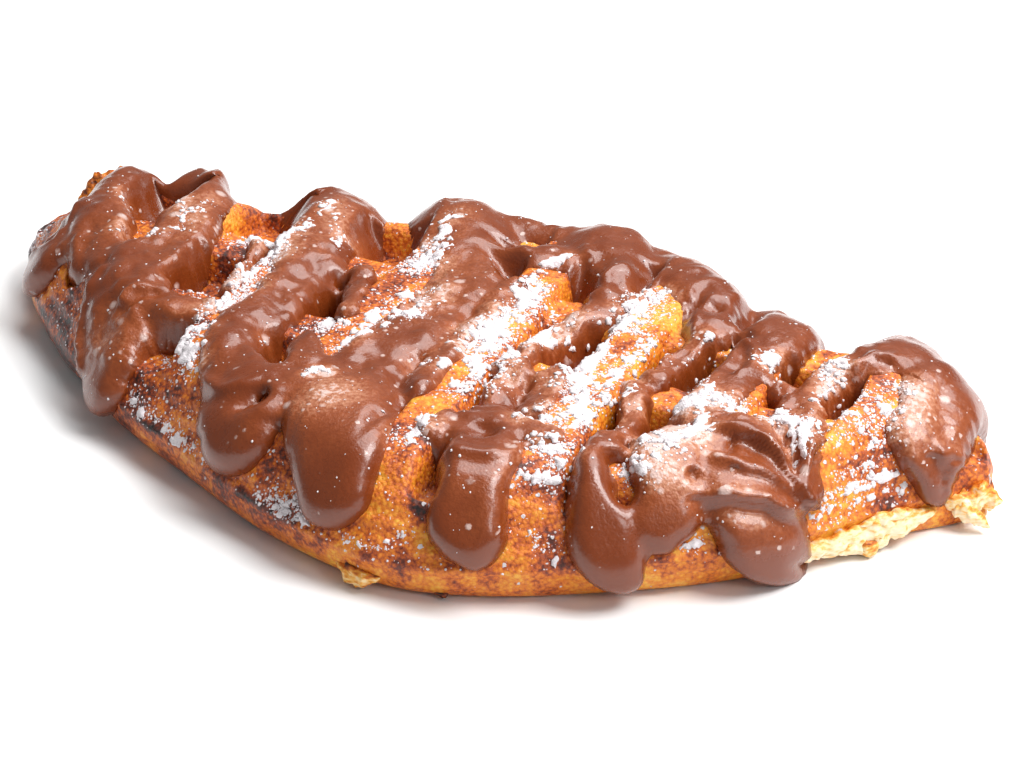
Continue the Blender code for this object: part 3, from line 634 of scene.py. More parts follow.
# %% Heavy sugar: lines of x, y, half width, strength
SUGAR = {
    "crust_tip": [(-102.0, 13.2, 1.8, 0.8), (-101.2, 15.3, 2.0, 0.8), (-97.6, 16.0, 1.8, 0.7)],
    "left_specks": [(-79.7, 17.0, 1.3, 0.6), (-73.7, 18.0, 1.6, 0.6), (-68.0, 13.8, 1.3, 0.6)],
    "left_specks_low": [(-74.2, 5.5, 1.1, 0.6), (-66.1, 6.9, 1.0, 0.6), (-66.4, 18.4, 0.9, 0.5)],
    "first_pocket": [(-57.8, -4.7, 1.6, 0.9), (-54.2, -6.9, 1.6, 0.9)],
    "first_ridge": [(-56.6, 12.8, 1.8, 0.8), (-53.0, 14.9, 2.0, 0.9), (-49.1, 11.8, 2.7, 1.1),
                    (-47.0, 4.9, 2.2, 1.0), (-47.2, -0.5, 2.2, 0.9), (-46.3, -7.3, 1.8, 0.8),
                    (-47.0, -12.1, 1.8, 0.9), (-47.8, -16.8, 1.6, 0.8)],
    "third_hump": [(-47.0, 12.8, 1.6, 0.8), (-45.1, 16.6, 1.3, 0.7)],
    "third_specks": [(-44.6, 23.7, 1.3, 0.6), (-39.3, 18.1, 1.6, 0.6), (-36.9, 12.3, 1.1, 0.5)],
    "left_block": [(-52.8, -22.6, 1.1, 0.8), (-49.5, -23.9, 2.0, 1.0), (-45.9, -27.3, 2.2, 1.1),
                   (-43.5, -30.0, 1.3, 0.8)],
    "left_block_top": [(-48.7, -23.0, 1.1, 0.9), (-45.7, -21.3, 1.1, 0.8)],
    "second_pocket": [(-28.7, -9.7, 1.8, 0.8), (-23.6, -10.7, 1.7, 0.9)],
    "second_bar": [(-33.3, -19.6, 1.1, 0.8), (-31.7, -17.7, 1.1, 0.8)],
    "second_ridge": [(-21.7, 27.8, 1.7, 1.0), (-21.9, 20.8, 2.2, 1.0), (-22.7, 13.2, 2.7, 1.1),
                     (-26.2, 11.2, 1.6, 0.7)],
    "second_ridge_low": [(-18.1, 2.2, 1.8, 0.8), (-20.5, -1.6, 2.0, 0.9), (-20.0, -8.7, 2.0, 0.9),
                         (-20.6, -13.9, 2.0, 1.0), (-21.8, -18.8, 1.3, 0.8)],
    "second_band": [(-15.4, 2.4, 1.7, 0.8), (-15.5, -4.8, 2.0, 1.0)],
    "streak": [(-21.2, -31.7, 0.6, 1.1), (-20.2, -29.6, 0.8, 1.1), (-18.2, -30.4, 0.5, 1.0)],
    "channel_lump": [(-4.3, -18.7, 2.0, 0.9), (-3.1, -18.7, 2.0, 0.9)],
    "middle_ridge_a": [(0.4, 4.5, 2.2, 1.0), (0.2, -5.9, 2.4, 1.1), (0.3, -12.4, 2.2, 1.0),
                       (4.0, -19.4, 2.7, 1.0), (2.8, -25.0, 1.8, 0.9)],
    "middle_ridge_b": [(2.1, 24.2, 0.8, 0.7), (-1.7, 18.9, 0.8, 0.8), (0.7, 8.9, 2.3, 1.0),
                       (0.2, 2.6, 2.3, 1.1), (0.2, -5.2, 2.8, 1.1), (0.4, -11.1, 2.8, 1.1)],
    "middle_block": [(0.8, -41.5, 1.3, 0.8), (2.4, -39.1, 1.1, 0.9), (1.9, -35.9, 1.2, 0.9)],
    "middle_bars": [(5.4, 8.2, 1.4, 0.8), (7.0, 1.5, 2.3, 1.0), (7.2, -4.9, 1.9, 0.9)],
    "middle_bars_b": [(10.6, 4.8, 1.9, 0.8), (13.1, -7.4, 2.0, 1.1), (16.2, -10.4, 1.6, 1.0)],
    "finger_specks": [(5.9, -11.9, 1.4, 0.7), (6.2, -17.6, 1.6, 0.7)],
    "fourth_ridge": [(20.4, 18.9, 1.9, 0.9), (19.3, 10.4, 2.2, 1.1), (17.8, 4.9, 2.1, 1.0),
                     (18.6, -2.3, 2.1, 1.0), (18.3, -8.1, 2.8, 1.1), (19.8, -14.9, 3.3, 1.2),
                     (22.7, -20.6, 2.8, 1.1), (21.8, -26.7, 2.1, 1.0), (17.8, -28.2, 2.3, 1.1),
                     (15.7, -30.5, 0.9, 0.8)],
    "fourth_ridge_right": [(24.5, 3.0, 2.1, 0.7), (24.7, -4.5, 2.3, 0.7), (24.4, -12.9, 1.9, 0.7),
                           (26.3, -25.4, 1.9, 0.8)],
    "fourth_block": [(21.3, -36.0, 1.6, 1.0), (24.6, -36.2, 2.3, 1.2), (25.7, -38.7, 1.6, 1.0)],
    "fourth_block_low": [(21.0, -42.8, 1.6, 1.0), (23.0, -42.5, 1.6, 0.9), (26.9, -41.2, 1.2, 0.7)],
    "fifth_bar": [(32.6, -17.9, 1.4, 0.8), (35.7, -16.6, 2.0, 1.0), (40.0, -15.0, 2.3, 1.0),
                  (44.4, -13.9, 2.0, 0.9)],
    "fifth_ridge": [(34.5, 6.7, 1.6, 0.7), (35.6, 1.8, 1.2, 0.5)],
    "fifth_top": [(37.9, -29.5, 1.6, 0.8), (42.4, -23.5, 1.8, 1.0), (38.9, -8.6, 1.2, 0.7)],
    "fifth_sliver": [(35.3, -35.0, 1.3, 1.0), (36.5, -35.0, 1.3, 1.0)],
    "sixth_spot": [(46.5, 2.0, 1.7, 1.2), (47.7, 2.0, 1.7, 1.2)],
    "right_pocket": [(50.5, -14.8, 1.3, 0.8), (55.2, -13.6, 1.6, 0.9)],
    "right_ridge": [(55.8, 6.4, 1.6, 1.0), (59.0, 0.7, 2.3, 1.0), (59.8, -4.6, 2.6, 1.1),
                    (63.4, -7.8, 2.8, 0.9), (66.1, -7.5, 2.8, 0.8), (67.6, -9.6, 2.3, 0.7)],
    "right_ridge_right": [(66.6, 4.1, 1.2, 0.8), (68.9, 3.5, 1.4, 0.8), (67.7, -2.6, 1.9, 0.7)],
    "right_line": [(61.9, -23.6, 1.0, 1.2), (65.1, -19.5, 1.5, 1.2), (67.7, -14.8, 2.0, 1.2),
                   (70.8, -10.2, 1.4, 1.1)],
    "right_low": [(63.1, -26.3, 1.3, 0.9), (66.7, -19.1, 1.0, 0.7)],
    "band_specks": [(57.6, -18.1, 1.2, 0.8), (58.3, -13.1, 1.2, 0.7)],
    "seam_left": [(-56.2, -35.0, 1.2, 0.9), (-51.7, -37.7, 1.6, 0.9), (-47.7, -39.9, 1.3, 0.8),
                  (-44.5, -42.3, 1.7, 0.8), (-38.0, -45.9, 1.1, 0.7)],
    "seam_third": [(-19.2, -53.4, 1.2, 0.9), (-16.5, -55.7, 1.7, 1.1), (-17.4, -57.3, 1.1, 1.0)],
    "seam_dots": [(-23.5, -53.6, 0.7, 0.9), (-9.5, -58.7, 0.7, 1.0)],
    "seam_dots_b": [(-4.5, -60.6, 0.9, 1.0), (1.5, -60.7, 0.6, 0.9), (5.4, -58.2, 1.2, 1.1)],
    "seam_fourth": [(25.8, -52.4, 1.2, 1.0), (28.4, -52.3, 1.2, 0.9)],
    "seam_fifth": [(46.4, -42.0, 1.2, 1.0), (47.6, -42.0, 1.2, 1.0)],
}


# Lightly dusted places: x, y, radius, amount. The spots at (-14, -36), (42, -34) and (53, -33)
# lie on the front drips, where their milky colour is partly melted sugar and partly painted highlight.
DUSTED_AND_HIGHLIGHT = [(62, -2, 8, 0.5), (66, -12, 7, 0.4), (64, -20, 5, 0.4), (-62, -22, 9, 0.2), (-50, -30, 8, 0.3),
          (22, -44, 6, 0.35), (-16, 10, 9, 0.3), (2, -4, 9, 0.4), (20, -10, 9, 0.4), (38, -26, 8, 0.3),
          (-50, 10, 9, 0.3), (-72, 12, 9, 0.3), (80, 2, 5, 0.3), (-14, -36, 6, 0.9), (42, -34, 5, 0.7),
          (53, -33, 5, 0.7), (-64, -22, 6, 0.25), (74, 0, 6, 0.3)]


# %% Fields from the layouts
BAKE = 0.41  # browning of plain crust
DUST = 0.20  # sugar on plain crust or spread


def spots_on(flat, spots):
    """Sum over the spots of amount times a bell curve of the distance over the radius."""
    return sum(amount * np.exp(-((flat[..., 0] - x) ** 2 + (flat[..., 1] - y) ** 2) / radius ** 2)
               for x, y, radius, amount in spots)


def browning_and_painted_light(points, flat, rows):
    """From 0 pale to 1 burnt: a base with broad and fine noise, the seam, and the traced spots.

    Towards the left end (negative x) the seam, the lower side and the whole end are darker, as
    painted shade, and towards the right the lower side is paler, as painted light.
    """
    z = points[..., 2]
    bake_and_painted_light = BAKE + 0.22 * rough(points, 10.0, 41) + 0.12 * rough(points, 2.4, 44)
    seam = np.exp(-((z - SEAM_Z - 0.4 - 0.5 * noise(points, 12.0, 17)) / 0.7) ** 2) * (rows[None, :] != 3)
    # Painted shade and painted light: the seam, the lower side and the end get darker towards the left, and
    # the lower side paler towards the right
    left = smooth_step(-points[..., 0], -20.0, 40.0)
    bake_and_painted_light += seam * np.clip(0.15 + 0.5 * rough(points, 8.0, 47), 0.0, 0.5) * (0.2 + 0.8 * left)
    bake_and_painted_light += (0.28 * left - 0.20) * (1.0 - smooth_step(z, 3.0, 8.0))
    bake_and_painted_light += 0.08 * smooth_step(-points[..., 0], 20.0, 70.0)
    return np.clip(bake_and_painted_light + spots_on(flat, BROWNING), 0.0, 1.0)


def sugar_field(flat):
    """Largest over the traced lines of strength times one minus distance over half width.

    The half width is taken half as large again, because the field has to fade out beyond it.
    """
    field = np.full(flat.shape[:-1], -1.0)
    for knots in SUGAR.values():
        knots = np.array(knots, float)
        line = curve_through(knots, 6 * len(knots))
        low, high = line[:, :2].min(axis=0) - 12.0, line[:, :2].max(axis=0) + 12.0
        part = np.all((flat > low) & (flat < high), axis=-1)
        gap, values, _ = near_line(flat[part], line)
        field[part] = np.maximum(field[part], values[:, 1] * (1.0 - gap / (1.5 * values[:, 0] + 0.3)))
    return field


def dust_and_highlight(points, flat, out):
    """Light sugar on faces that look up, thicker around the heavy and the dusted places, plus painted
    highlight on three drip spots.
    """
    heavy = np.clip(sugar_field(flat) + 1.0, 0.0, 2.0)
    spots = 0.5 + 0.5 * rough(points, 6.0, 51)
    light = DUST * spots + 0.7 * spots_on(flat, DUSTED_AND_HIGHLIGHT)
    return np.clip(heavy * 0.55 * spots + light, 0.0, 1.0) * np.clip(out[..., 2] * 1.3, 0.08, 1.0)


# %% [markdown]
# ## The pastry
# The crust is the whole grid, so its faces are counted off and not modelled: squares between
# neighbouring sections, and a fan of triangles at each tip. It carries two painted values, how
# brown it is, with painted shade on the left and painted light on the right of its lower side,
# and how much sugar dust lies on it, which its material reads later.

# %% Pastry
PASTRY_GRID = (330, 52, 110, 40)  # points along, on each side, over the top and underneath


def wrapped_faces(n_along, n_around):
    """Squares of a grid that closes round the body, and the two fans that close its tips."""
    column = np.arange(n_around)
    after = (column + 1) % n_around
    ring = np.arange(1, n_along - 2)[:, None] * n_around
    squares = np.stack([ring + column, ring + n_around + column, ring + n_around + after, ring + after],
                       axis=-1).reshape(-1, 4)
    first, last = n_around, (n_along - 2) * n_around
    left_fan = np.stack([np.zeros_like(column), first + column, first + after], axis=1)
    right_tip = np.full_like(column, (n_along - 1) * n_around)
    right_fan = np.stack([right_tip, last + after, last + column], axis=1)
    return squares, np.concatenate([left_fan, right_fan])


points, flat, rows = wrapping_grid(*PASTRY_GRID)
crust, out = crust_skin(points, rows)
squares, fans = wrapped_faces(*crust.shape[:2])
used = np.unique(np.concatenate([squares.ravel(), fans.ravel()]))
number = np.zeros(crust.shape[0] * crust.shape[1], int)
number[used] = np.arange(len(used))
pastry = piece_from("pastry", crust.reshape(-1, 3)[used], number[squares], number[fans])
paint(pastry, "bake_and_painted_light", browning_and_painted_light(crust, flat, rows).ravel()[used])
paint(pastry, "dust_and_highlight", dust_and_highlight(crust, flat, out).ravel()[used])

# %% [markdown]
# ## The chocolate spread
# One shell holds every ribbon, pool and drip, because on the real pastry they run together. Its
# inner face lies a little under the crust, so no gap shows at the rim from any side.

# %% Chocolate spread
SPREAD_GRID = (355, 56, 108)
points, flat, rows = wrapping_grid(*SPREAD_GRID)
crust, out = crust_skin(points, rows)
outer, inside = spread_skin(points, flat, crust, out)
# No spread where the tips close, nor right at the floor
inside[:3] = inside[-3:] = -1.0
inside[:, :2] = inside[:, -2:] = -1.0
# Sugar dust on the spread, which on three drip spots is partly painted highlight
speckled = dust_and_highlight(points, flat, normals_of(outer))
keep, (face, lining, speckled) = onto_rim(inside, outer, crust - out * 0.6, speckled)
spread = shell("chocolate_spread", keep, face, lining, ("dust_and_highlight", speckled))

# %% [markdown]
# ## The icing sugar
# Heavy sugar lies in clumps with ragged rims. The same grid, only finer, is laid over whatever
# is on top, crust or spread. The traced lines say where sugar is likely, and noise decides where
# it really lies. Steep walls keep less of it. The sugar that clings to the sides lies thinner.

# %% Icing sugar
SUGAR_GRID = (700, 90, 220)
PILE = 0.45  # greatest height of a clump
SUNK = 0.35  # how far its lining lies below the ground
points, flat, rows = wrapping_grid(*SUGAR_GRID)
crust, out = crust_skin(points, rows)
outer, inside = spread_skin(points, flat, crust, out)
ground = np.where((inside > 0.0)[..., None], outer, crust)
ground_out = normals_of(ground)
on_side = smooth_step(16.0 - points[..., 2], 0.0, 3.0)
heavy = sugar_field(flat) - 0.25 * on_side
level = smooth_step(ground_out[..., 2], 0.35 - 0.3 * on_side, 0.65 - 0.3 * on_side)
clump = heavy + 0.95 * rough(ground, 2.4, 61, 4) + 0.45 * noise(ground, 0.55, 66) - 0.76 - 1.2 * (1.0 - level)
clump[:4] = clump[-4:] = -1.0
clump[:, :2] = clump[:, -2:] = -1.0
pile = np.clip(clump * 0.9, 0.0, PILE) + 0.22 * noise(ground, 0.6, 67) * np.clip(clump * 4.0, 0.0, 1.0)
sugar_top = ground + ground_out * (pile + 0.02)[..., None]
keep, (face, lining) = onto_rim(clump, sugar_top, ground - ground_out * SUNK)
sugar = shell("icing_sugar", keep, face, lining)

# %% [markdown]
# ## Lumps and grains of sugar
# Shaken sugar falls as lumps of a third of a millimetre to a little over one, and as single
# grains around them. Both are one small round shape of 48 or 20 triangles, repeated with a
# random size, turn and dents, sunk into what carries it, and joined to one mesh each. Geometry
# nodes could scatter them too, but the grid already knows where sugar is likely.

# %% A small round shape
def ball(slices, bands):
    """Points and triangles of a small round shape of radius one."""
    shape = bmesh.new()
    bmesh.ops.create_uvsphere(shape, u_segments=slices, v_segments=bands, radius=1.0)
    bmesh.ops.triangulate(shape, faces=shape.faces)
    mesh = bpy.data.meshes.new("ball")
    shape.to_mesh(mesh)
    shape.free()
    places = np.zeros(len(mesh.vertices) * 3)
    corners = np.zeros(len(mesh.polygons) * 3, int)
    mesh.vertices.foreach_get("co", places)
    mesh.polygons.foreach_get("vertices", corners)
    bpy.data.meshes.remove(mesh)
    return places.reshape(-1, 3), corners.reshape(-1, 3)


# %% Sprinkling
def sprinkle(name, count, chance, radii, flatness, slices, bands, seed):
    """Repeats the round shape on the grid, where chance says, on whatever skin lies there.

    Each grid place is drawn with a probability of its chance times the area it stands for. A
    size is the least radius plus the span times a random number to the power 2.5, so that most
    are small. Each point of a shape is its unit place, stretched, flattened and dented, times
    that size.
    """
    rng = np.random.default_rng(seed)
    step_i, step_j = np.gradient(ground, axis=(0, 1))
    area = np.linalg.norm(np.cross(step_i, step_j), axis=2)
    odds = np.clip(chance, 0.0, None) * area
    odds[:6] = odds[-6:] = 0.0
    odds[:, :3] = odds[:, -3:] = 0.0
    drawn = rng.choice(odds.size, size=count, p=odds.ravel() / odds.sum())
    i = drawn // odds.shape[1] + rng.random(count) - 0.5
    j = drawn % odds.shape[1] + rng.random(count) - 0.5
    centre, up = resample(ground, i, j), resample(ground_out, i, j)
    up /= np.linalg.norm(up, axis=1, keepdims=True)
    along = np.cross(up, rng.normal(size=(count, 3)))
    along /= np.linalg.norm(along, axis=1, keepdims=True)
    across = np.cross(up, along)
    size = radii[0] + (radii[1] - radii[0]) * rng.random(count) ** 2.5
    unit, faces = ball(slices, bands)
    stretch = 1.0 + 0.35 * rng.random((count, 2))
    dent = 1.0 + 0.22 * rng.normal(size=(count, len(unit)))
    turned = (unit[None, :, 0, None] * along[:, None] * stretch[:, None, :1]
              + unit[None, :, 1, None] * across[:, None] * stretch[:, None, 1:]
              + unit[None, :, 2, None] * up[:, None] * flatness)
    places = centre[:, None] + turned * (size[:, None] * dent)[..., None]
    numbers = faces[None] + (np.arange(count) * len(unit))[:, None, None]
    return piece_from(name, places.reshape(-1, 3), np.zeros((0, 4), int), numbers.reshape(-1, 3))


# %% Lumps and grains
patches = rough(ground, 7.0, 71)
dry = 1.0 - 0.75 * smooth_step(inside, 0.0, 0.6)  # most grains melt where they fall on spread
lump_chance = np.clip(heavy + 0.5 * patches + 0.05, 0.0, 1.0) ** 2 * (0.15 + 0.85 * level)
grain_chance = (np.clip(heavy + 0.8 * patches + 0.35, 0.0, 1.0) ** 1.5 + 0.04) * level * dry
lumps = sprinkle("sugar_lumps", 2300, lump_chance, (0.16, 0.62), 0.55, 6, 5, 72)
grains = sprinkle("sugar_grains", 9000, grain_chance, (0.08, 0.26), 0.7, 5, 3, 73)

# %% [markdown]
# ## Torn dough
# Along the lower right edge the crust is torn open and the pale layers inside show, down to a
# forked tip. A few yellow flakes and one burnt nub hang from the seam. Each is a flat ragged
# tongue swept along a short path, thickest in the middle and closed at both ends.

# %% Tongues: x, y, z, half height, half thickness
TONGUES = {
    "long_layer": [(57.5, -27.6, 3.0, 1.2, 1.0), (61, -23.8, 3.2, 1.7, 1.3), (65, -18.9, 3.4, 1.8, 1.3),
                   (68.5, -14.9, 3.6, 2.3, 1.4), (72, -11.1, 3.7, 2.5, 1.4), (75, -7.4, 4.0, 1.7, 1.2),
                   (77.5, -4.4, 4.2, 1.2, 1.0)],
    "low_layer": [(63, -21.8, 1.9, 0.8, 0.9), (67, -17.2, 2.0, 1.2, 1.1), (70.2, -13.9, 1.9, 1.5, 1.2),
                  (72.5, -10.6, 2.6, 1.0, 0.9)],
    "hanging_flake": [(68.2, -16.6, 2.4, 1.0, 0.7), (69.8, -16.0, 1.6, 1.3, 0.8),
                      (71.0, -14.2, 1.8, 0.9, 0.6)],
    "upper_layer": [(68, -15.6, 5.4, 0.7, 0.8), (71.5, -11.8, 5.8, 1.0, 0.9), (74.6, -8.4, 6.0, 0.7, 0.8)],
    "tip_far": [(78, -2.6, 4.8, 1.6, 1.6), (81, 0.2, 4.6, 2.2, 2.0), (83.6, 2.6, 4.2, 2.2, 1.7),
                (85.4, 3.6, 3.7, 1.5, 1.2), (86.5, 4.0, 3.3, 0.7, 0.6)],
    "tip_near": [(79.5, -2.2, 3.6, 1.3, 1.3), (82.4, -1.6, 3.1, 1.7, 1.3), (84.6, -1.4, 2.1, 1.2, 0.9),
                 (85.9, -1.6, 1.4, 0.7, 0.5)],
    "tip_back": [(80, 3.4, 7.2, 1.2, 1.4), (82.4, 4.6, 6.2, 1.6, 1.6), (84.6, 4.8, 5.0, 1.2, 1.2)],
    "back_flap": [(-100.2, 29.0, 8.5, 1.4, 1.2), (-99.2, 32.0, 11.2, 2.4, 1.8), (-96.9, 34.2, 13.0, 2.5, 2.0),
                  (-93.4, 35.6, 14.0, 2.2, 2.0), (-90.2, 36.6, 14.4, 1.2, 1.2)],
    "front_flake": [(-6.0, -53.6, 3.6, 0.9, 0.9), (-3.4, -55.0, 2.6, 1.5, 1.0), (-0.4, -55.9, 2.4, 1.5, 1.0),
                    (2.6, -55.7, 3.2, 0.9, 0.8)],
    "burnt_nub": [(10.8, -52.3, 1.8, 0.8, 0.9), (12.0, -53.0, 1.2, 0.9, 0.9), (13.2, -52.7, 1.6, 0.7, 0.8)],
}


# How toasted each one is, from 0 pale to 1 burnt
TOASTED = {"burnt_nub": 1.0, "back_flap": 0.34, "front_flake": 0.38, "hanging_flake": 0.34,
           "tip_back": 0.5, "tip_far": 0.2}
PALE = 0.1  # toasting of the others
TONGUE_GRID = (56, 22)  # points along a tongue and round it


# %% Torn dough
def tongue(path, seed):
    """Closed ragged tongue round a path: grid of points, and how high on the tongue each lies.

    Section: half height times cosine upward and half thickness times sine outward, the height
    scaled by one plus noise along the path, and both by sqrt(1 - |s| cubed) towards the ends.
    """
    steps, round_steps = TONGUE_GRID
    line = curve_through(np.array(path, float), steps)
    ahead = np.gradient(line[:, :2], axis=0)
    ahead /= np.linalg.norm(ahead, axis=1, keepdims=True)
    outward = np.stack([ahead[:, 1], -ahead[:, 0], np.zeros(steps)], axis=1)
    s = np.linspace(-1.0, 1.0, steps)
    taper = np.sqrt(np.clip(1.0 - np.abs(s) ** 3, 0.0, 1.0))[:, None]
    turn = np.linspace(0.0, 2.0 * math.pi, round_steps, endpoint=False)[None]
    rim = line[:, None, :3] + outward[:, None] * (line[:, [4]] * taper * np.sin(turn))[..., None]
    rim[..., 2] += line[:, [3]] * taper * np.cos(turn)
    ragged = 1.0 + 0.45 * rough(rim, 1.6, seed) + 0.2 * noise(rim, 0.6, seed + 3)
    high = np.cos(turn) * np.ones((steps, 1))
    return line[:, None, :3] + (rim - line[:, None, :3]) * ragged[..., None], high


grid_number = np.arange(TONGUE_GRID[0] * TONGUE_GRID[1]).reshape(TONGUE_GRID)
beside = np.roll(grid_number, -1, axis=1)
tongue_faces = np.stack([grid_number[:-1], beside[:-1], beside[1:], grid_number[1:]], axis=-1).reshape(-1, 4)
places, faces, toasts = [], [], []
for name, path in TONGUES.items():
    grid, high = tongue(path, 80 + 5 * len(places))
    faces.append(tongue_faces + grid_number.size * len(places))
    places.append(grid.reshape(-1, 3))
    toasts.append((TOASTED.get(name, PALE) + 0.5 * np.clip(high - 0.35, 0.0, 1.0)).ravel())
dough = piece_from("torn_dough", np.concatenate(places), np.concatenate(faces))
paint(dough, "toast", np.concatenate(toasts))

# %% [markdown]
# ## Finishes
# Colours are written as they look on screen and turned to linear light by one function. One
# more function adds a node with its settings and links. Every pattern has a size in millimetres.
# The IOR stays at 1.5, which is near that of sugar, fat and baked starch.

# %% Colours and nodes
def linear(text):
    """Linear colour from an sRGB hex value."""
    raw = np.array([int(text[i:i + 2], 16) for i in (1, 3, 5)]) / 255.0
    return (*np.where(raw <= 0.04045, raw / 12.92, ((raw + 0.055) / 1.055) ** 2.4), 1.0)


def add(tree, kind, settings=(), **links):
    """Adds a node and returns it.

    Settings go by property name, and "stops" fills a colour ramp from rows of place and colour.
    Links go by socket name, or by number after a low line, and are a node, whose first output
    is taken, or a socket, or a fixed value.
    """
    node = tree.nodes.new(kind)
    settings = dict(settings)
    stops = settings.pop("stops", ())
    for key, value in settings.items():
        setattr(node, key, value)
    if stops:
        elements = node.color_ramp.elements
        while len(elements) < len(stops):
            elements.new(0.5)
        for element, (place, text) in zip(elements, stops):
            element.position = place
            element.color = linear(text)
    for key, value in links.items():
        socket = node.inputs[int(key[1:])] if key[1:].isdigit() else node.inputs[key.replace("_", " ")]
        if isinstance(value, bpy.types.Node):
            value = value.outputs[0]
        if isinstance(value, bpy.types.NodeSocket):
            tree.links.new(value, socket)
        else:
            socket.default_value = value
    return node


def finish_named(name):
    """A new material with its tree, its shader and object coordinates."""
    material = bpy.data.materials.new(name)
    material.use_nodes = True
    tree = material.node_tree
    place = add(tree, "ShaderNodeTexCoord").outputs["Object"]
    print("finish:", name)
    return material, tree, tree.nodes["Principled BSDF"], place


# %% [markdown]
# ## Specks of sugar
# Between the lumps lies dust that is too fine to be a mesh. It is drawn as small round specks,
# more of them where the painted dust value is high. Real icing sugar is under a tenth of a
# millimetre, too fine to show, so the smallest specks are drawn half a millimetre wide.

# %% Specks
ADDED = {"operation": "ADD"}
TIMES = {"operation": "MULTIPLY"}
BENT = 0.5 * MM  # how far the cell pattern is bent, and the size of the bends


def sugar_specks(tree, place, amount, size_mm, soft=0.05):
    """1 on small round specks, more of them where the amount is larger.

    Each cell of a cell pattern has a speck if its random number is below the amount. The value
    falls to 0 at the rim over the soft share of a cell.
    """
    bends = add(tree, "ShaderNodeTexNoise", Vector=place, Scale=1.0 / BENT).outputs["Color"]
    shift = add(tree, "ShaderNodeVectorMath", {"operation": "MULTIPLY_ADD"}, _0=bends,
                _1=(BENT,) * 3, _2=place)
    cells = add(tree, "ShaderNodeTexVoronoi", Vector=shift, Scale=1.0 / (size_mm * MM))
    chance = add(tree, "ShaderNodeSeparateColor", Color=cells.outputs["Color"])
    there = add(tree, "ShaderNodeMath", {"operation": "LESS_THAN"}, _0=chance, _1=amount)
    radius = add(tree, "ShaderNodeMath", TIMES, _0=chance.outputs[1], _1=0.46)
    within = add(tree, "ShaderNodeMath", {"operation": "SUBTRACT"}, _0=radius, _1=cells)
    near = add(tree, "ShaderNodeMapRange", Value=within, _1=0.0, _2=soft, _3=0.0, _4=1.0)
    return add(tree, "ShaderNodeMath", TIMES, _0=there, _1=near)


# %% [markdown]
# ## Baked crust
# Butter fries the crust against the iron, so it is golden where it only puffed, dark where it
# was pressed hardest, finely blistered, and half glossy. One value runs from pale to burnt: the
# painted browning, which holds painted shade and painted light on the lower side, plus three
# patterns, flecks, broad patches, and painted shade in the dips between blisters.

# %% Finish of the crust
FLECK, PATCH, BLISTER = 0.9 * MM, 4.0 * MM, 0.75 * MM


def baked_crust():
    """Fried and pressed croissant crust: golden to dark brown, finely blistered, half glossy."""
    material, tree, shader, place = finish_named("baked_croissant_crust")
    bake_and_painted_light = add(tree, "ShaderNodeAttribute", {"attribute_name": "bake_and_painted_light"}).outputs["Fac"]
    fleck = add(tree, "ShaderNodeTexNoise", Vector=place, Scale=1.0 / FLECK, Detail=5.0, Roughness=0.75)
    patch = add(tree, "ShaderNodeTexNoise", Vector=place, Scale=1.0 / PATCH, Detail=5.0)
    blister = add(tree, "ShaderNodeTexVoronoi", Vector=place, Scale=1.0 / BLISTER)
    tone = bake_and_painted_light
    # The blister term darkens the dips between blisters, which is painted shade
    patterns = ((fleck, 0.34, 0.66, -0.20, 0.18), (patch, 0.32, 0.68, -0.18, 0.18),
                (blister, 0.25, 0.75, -0.10, 0.12))
    for pattern, low, high, least, most in patterns:
        part = add(tree, "ShaderNodeMapRange", Value=pattern, _1=low, _2=high, _3=least, _4=most)
        tone = add(tree, "ShaderNodeMath", ADDED, _0=tone, _1=part)
    stops = [(0.02, "#f2b03a"), (0.20, "#ea8e1f"), (0.38, "#dc7214"), (0.56, "#b04a10"),
             (0.74, "#6a240a"), (0.98, "#1c0a06")]
    colour = add(tree, "ShaderNodeValToRGB", {"stops": stops}, Fac=tone)
    sugar_and_highlight = add(tree, "ShaderNodeAttribute", {"attribute_name": "dust_and_highlight"}).outputs["Fac"]
    specks = add(tree, "ShaderNodeMath", {"operation": "MAXIMUM"}, _0=sugar_specks(tree, place, sugar_and_highlight, 1.0),
                 _1=sugar_specks(tree, place, sugar_and_highlight, 0.55))
    dusted = add(tree, "ShaderNodeMix", {"data_type": "RGBA"}, _0=specks, _6=colour, _7=linear("#e6dfe2"))
    tree.links.new(dusted.outputs[2], shader.inputs["Base Color"])
    shader.inputs["Roughness"].default_value = 0.4
    shader.inputs["Coat Weight"].default_value = 0.2
    shader.inputs["Coat Roughness"].default_value = 0.3
    # Height: flecks stand up, blisters dip between, and specks lie on top
    dip = add(tree, "ShaderNodeMath", TIMES, _0=blister, _1=0.6)
    height = add(tree, "ShaderNodeMath", {"operation": "SUBTRACT"}, _0=fleck, _1=dip)
    height = add(tree, "ShaderNodeMath", {"operation": "MULTIPLY_ADD"}, _0=specks, _1=0.5, _2=height)
    bump = add(tree, "ShaderNodeBump", Height=height, Strength=0.8, Distance=0.4 * MM)
    tree.links.new(bump.outputs["Normal"], shader.inputs["Normal"])
    return material


pastry.data.materials.append(baked_crust())

# %% [markdown]
# ## Torn dough inside
# The inside of a croissant is pale and buttery, in layers that lie flat, so its pattern is
# squeezed upward. The edges that the heat reached are toasted. A little light goes through it.

# %% Finish of the torn dough
MOTTLE = 1.4 * MM


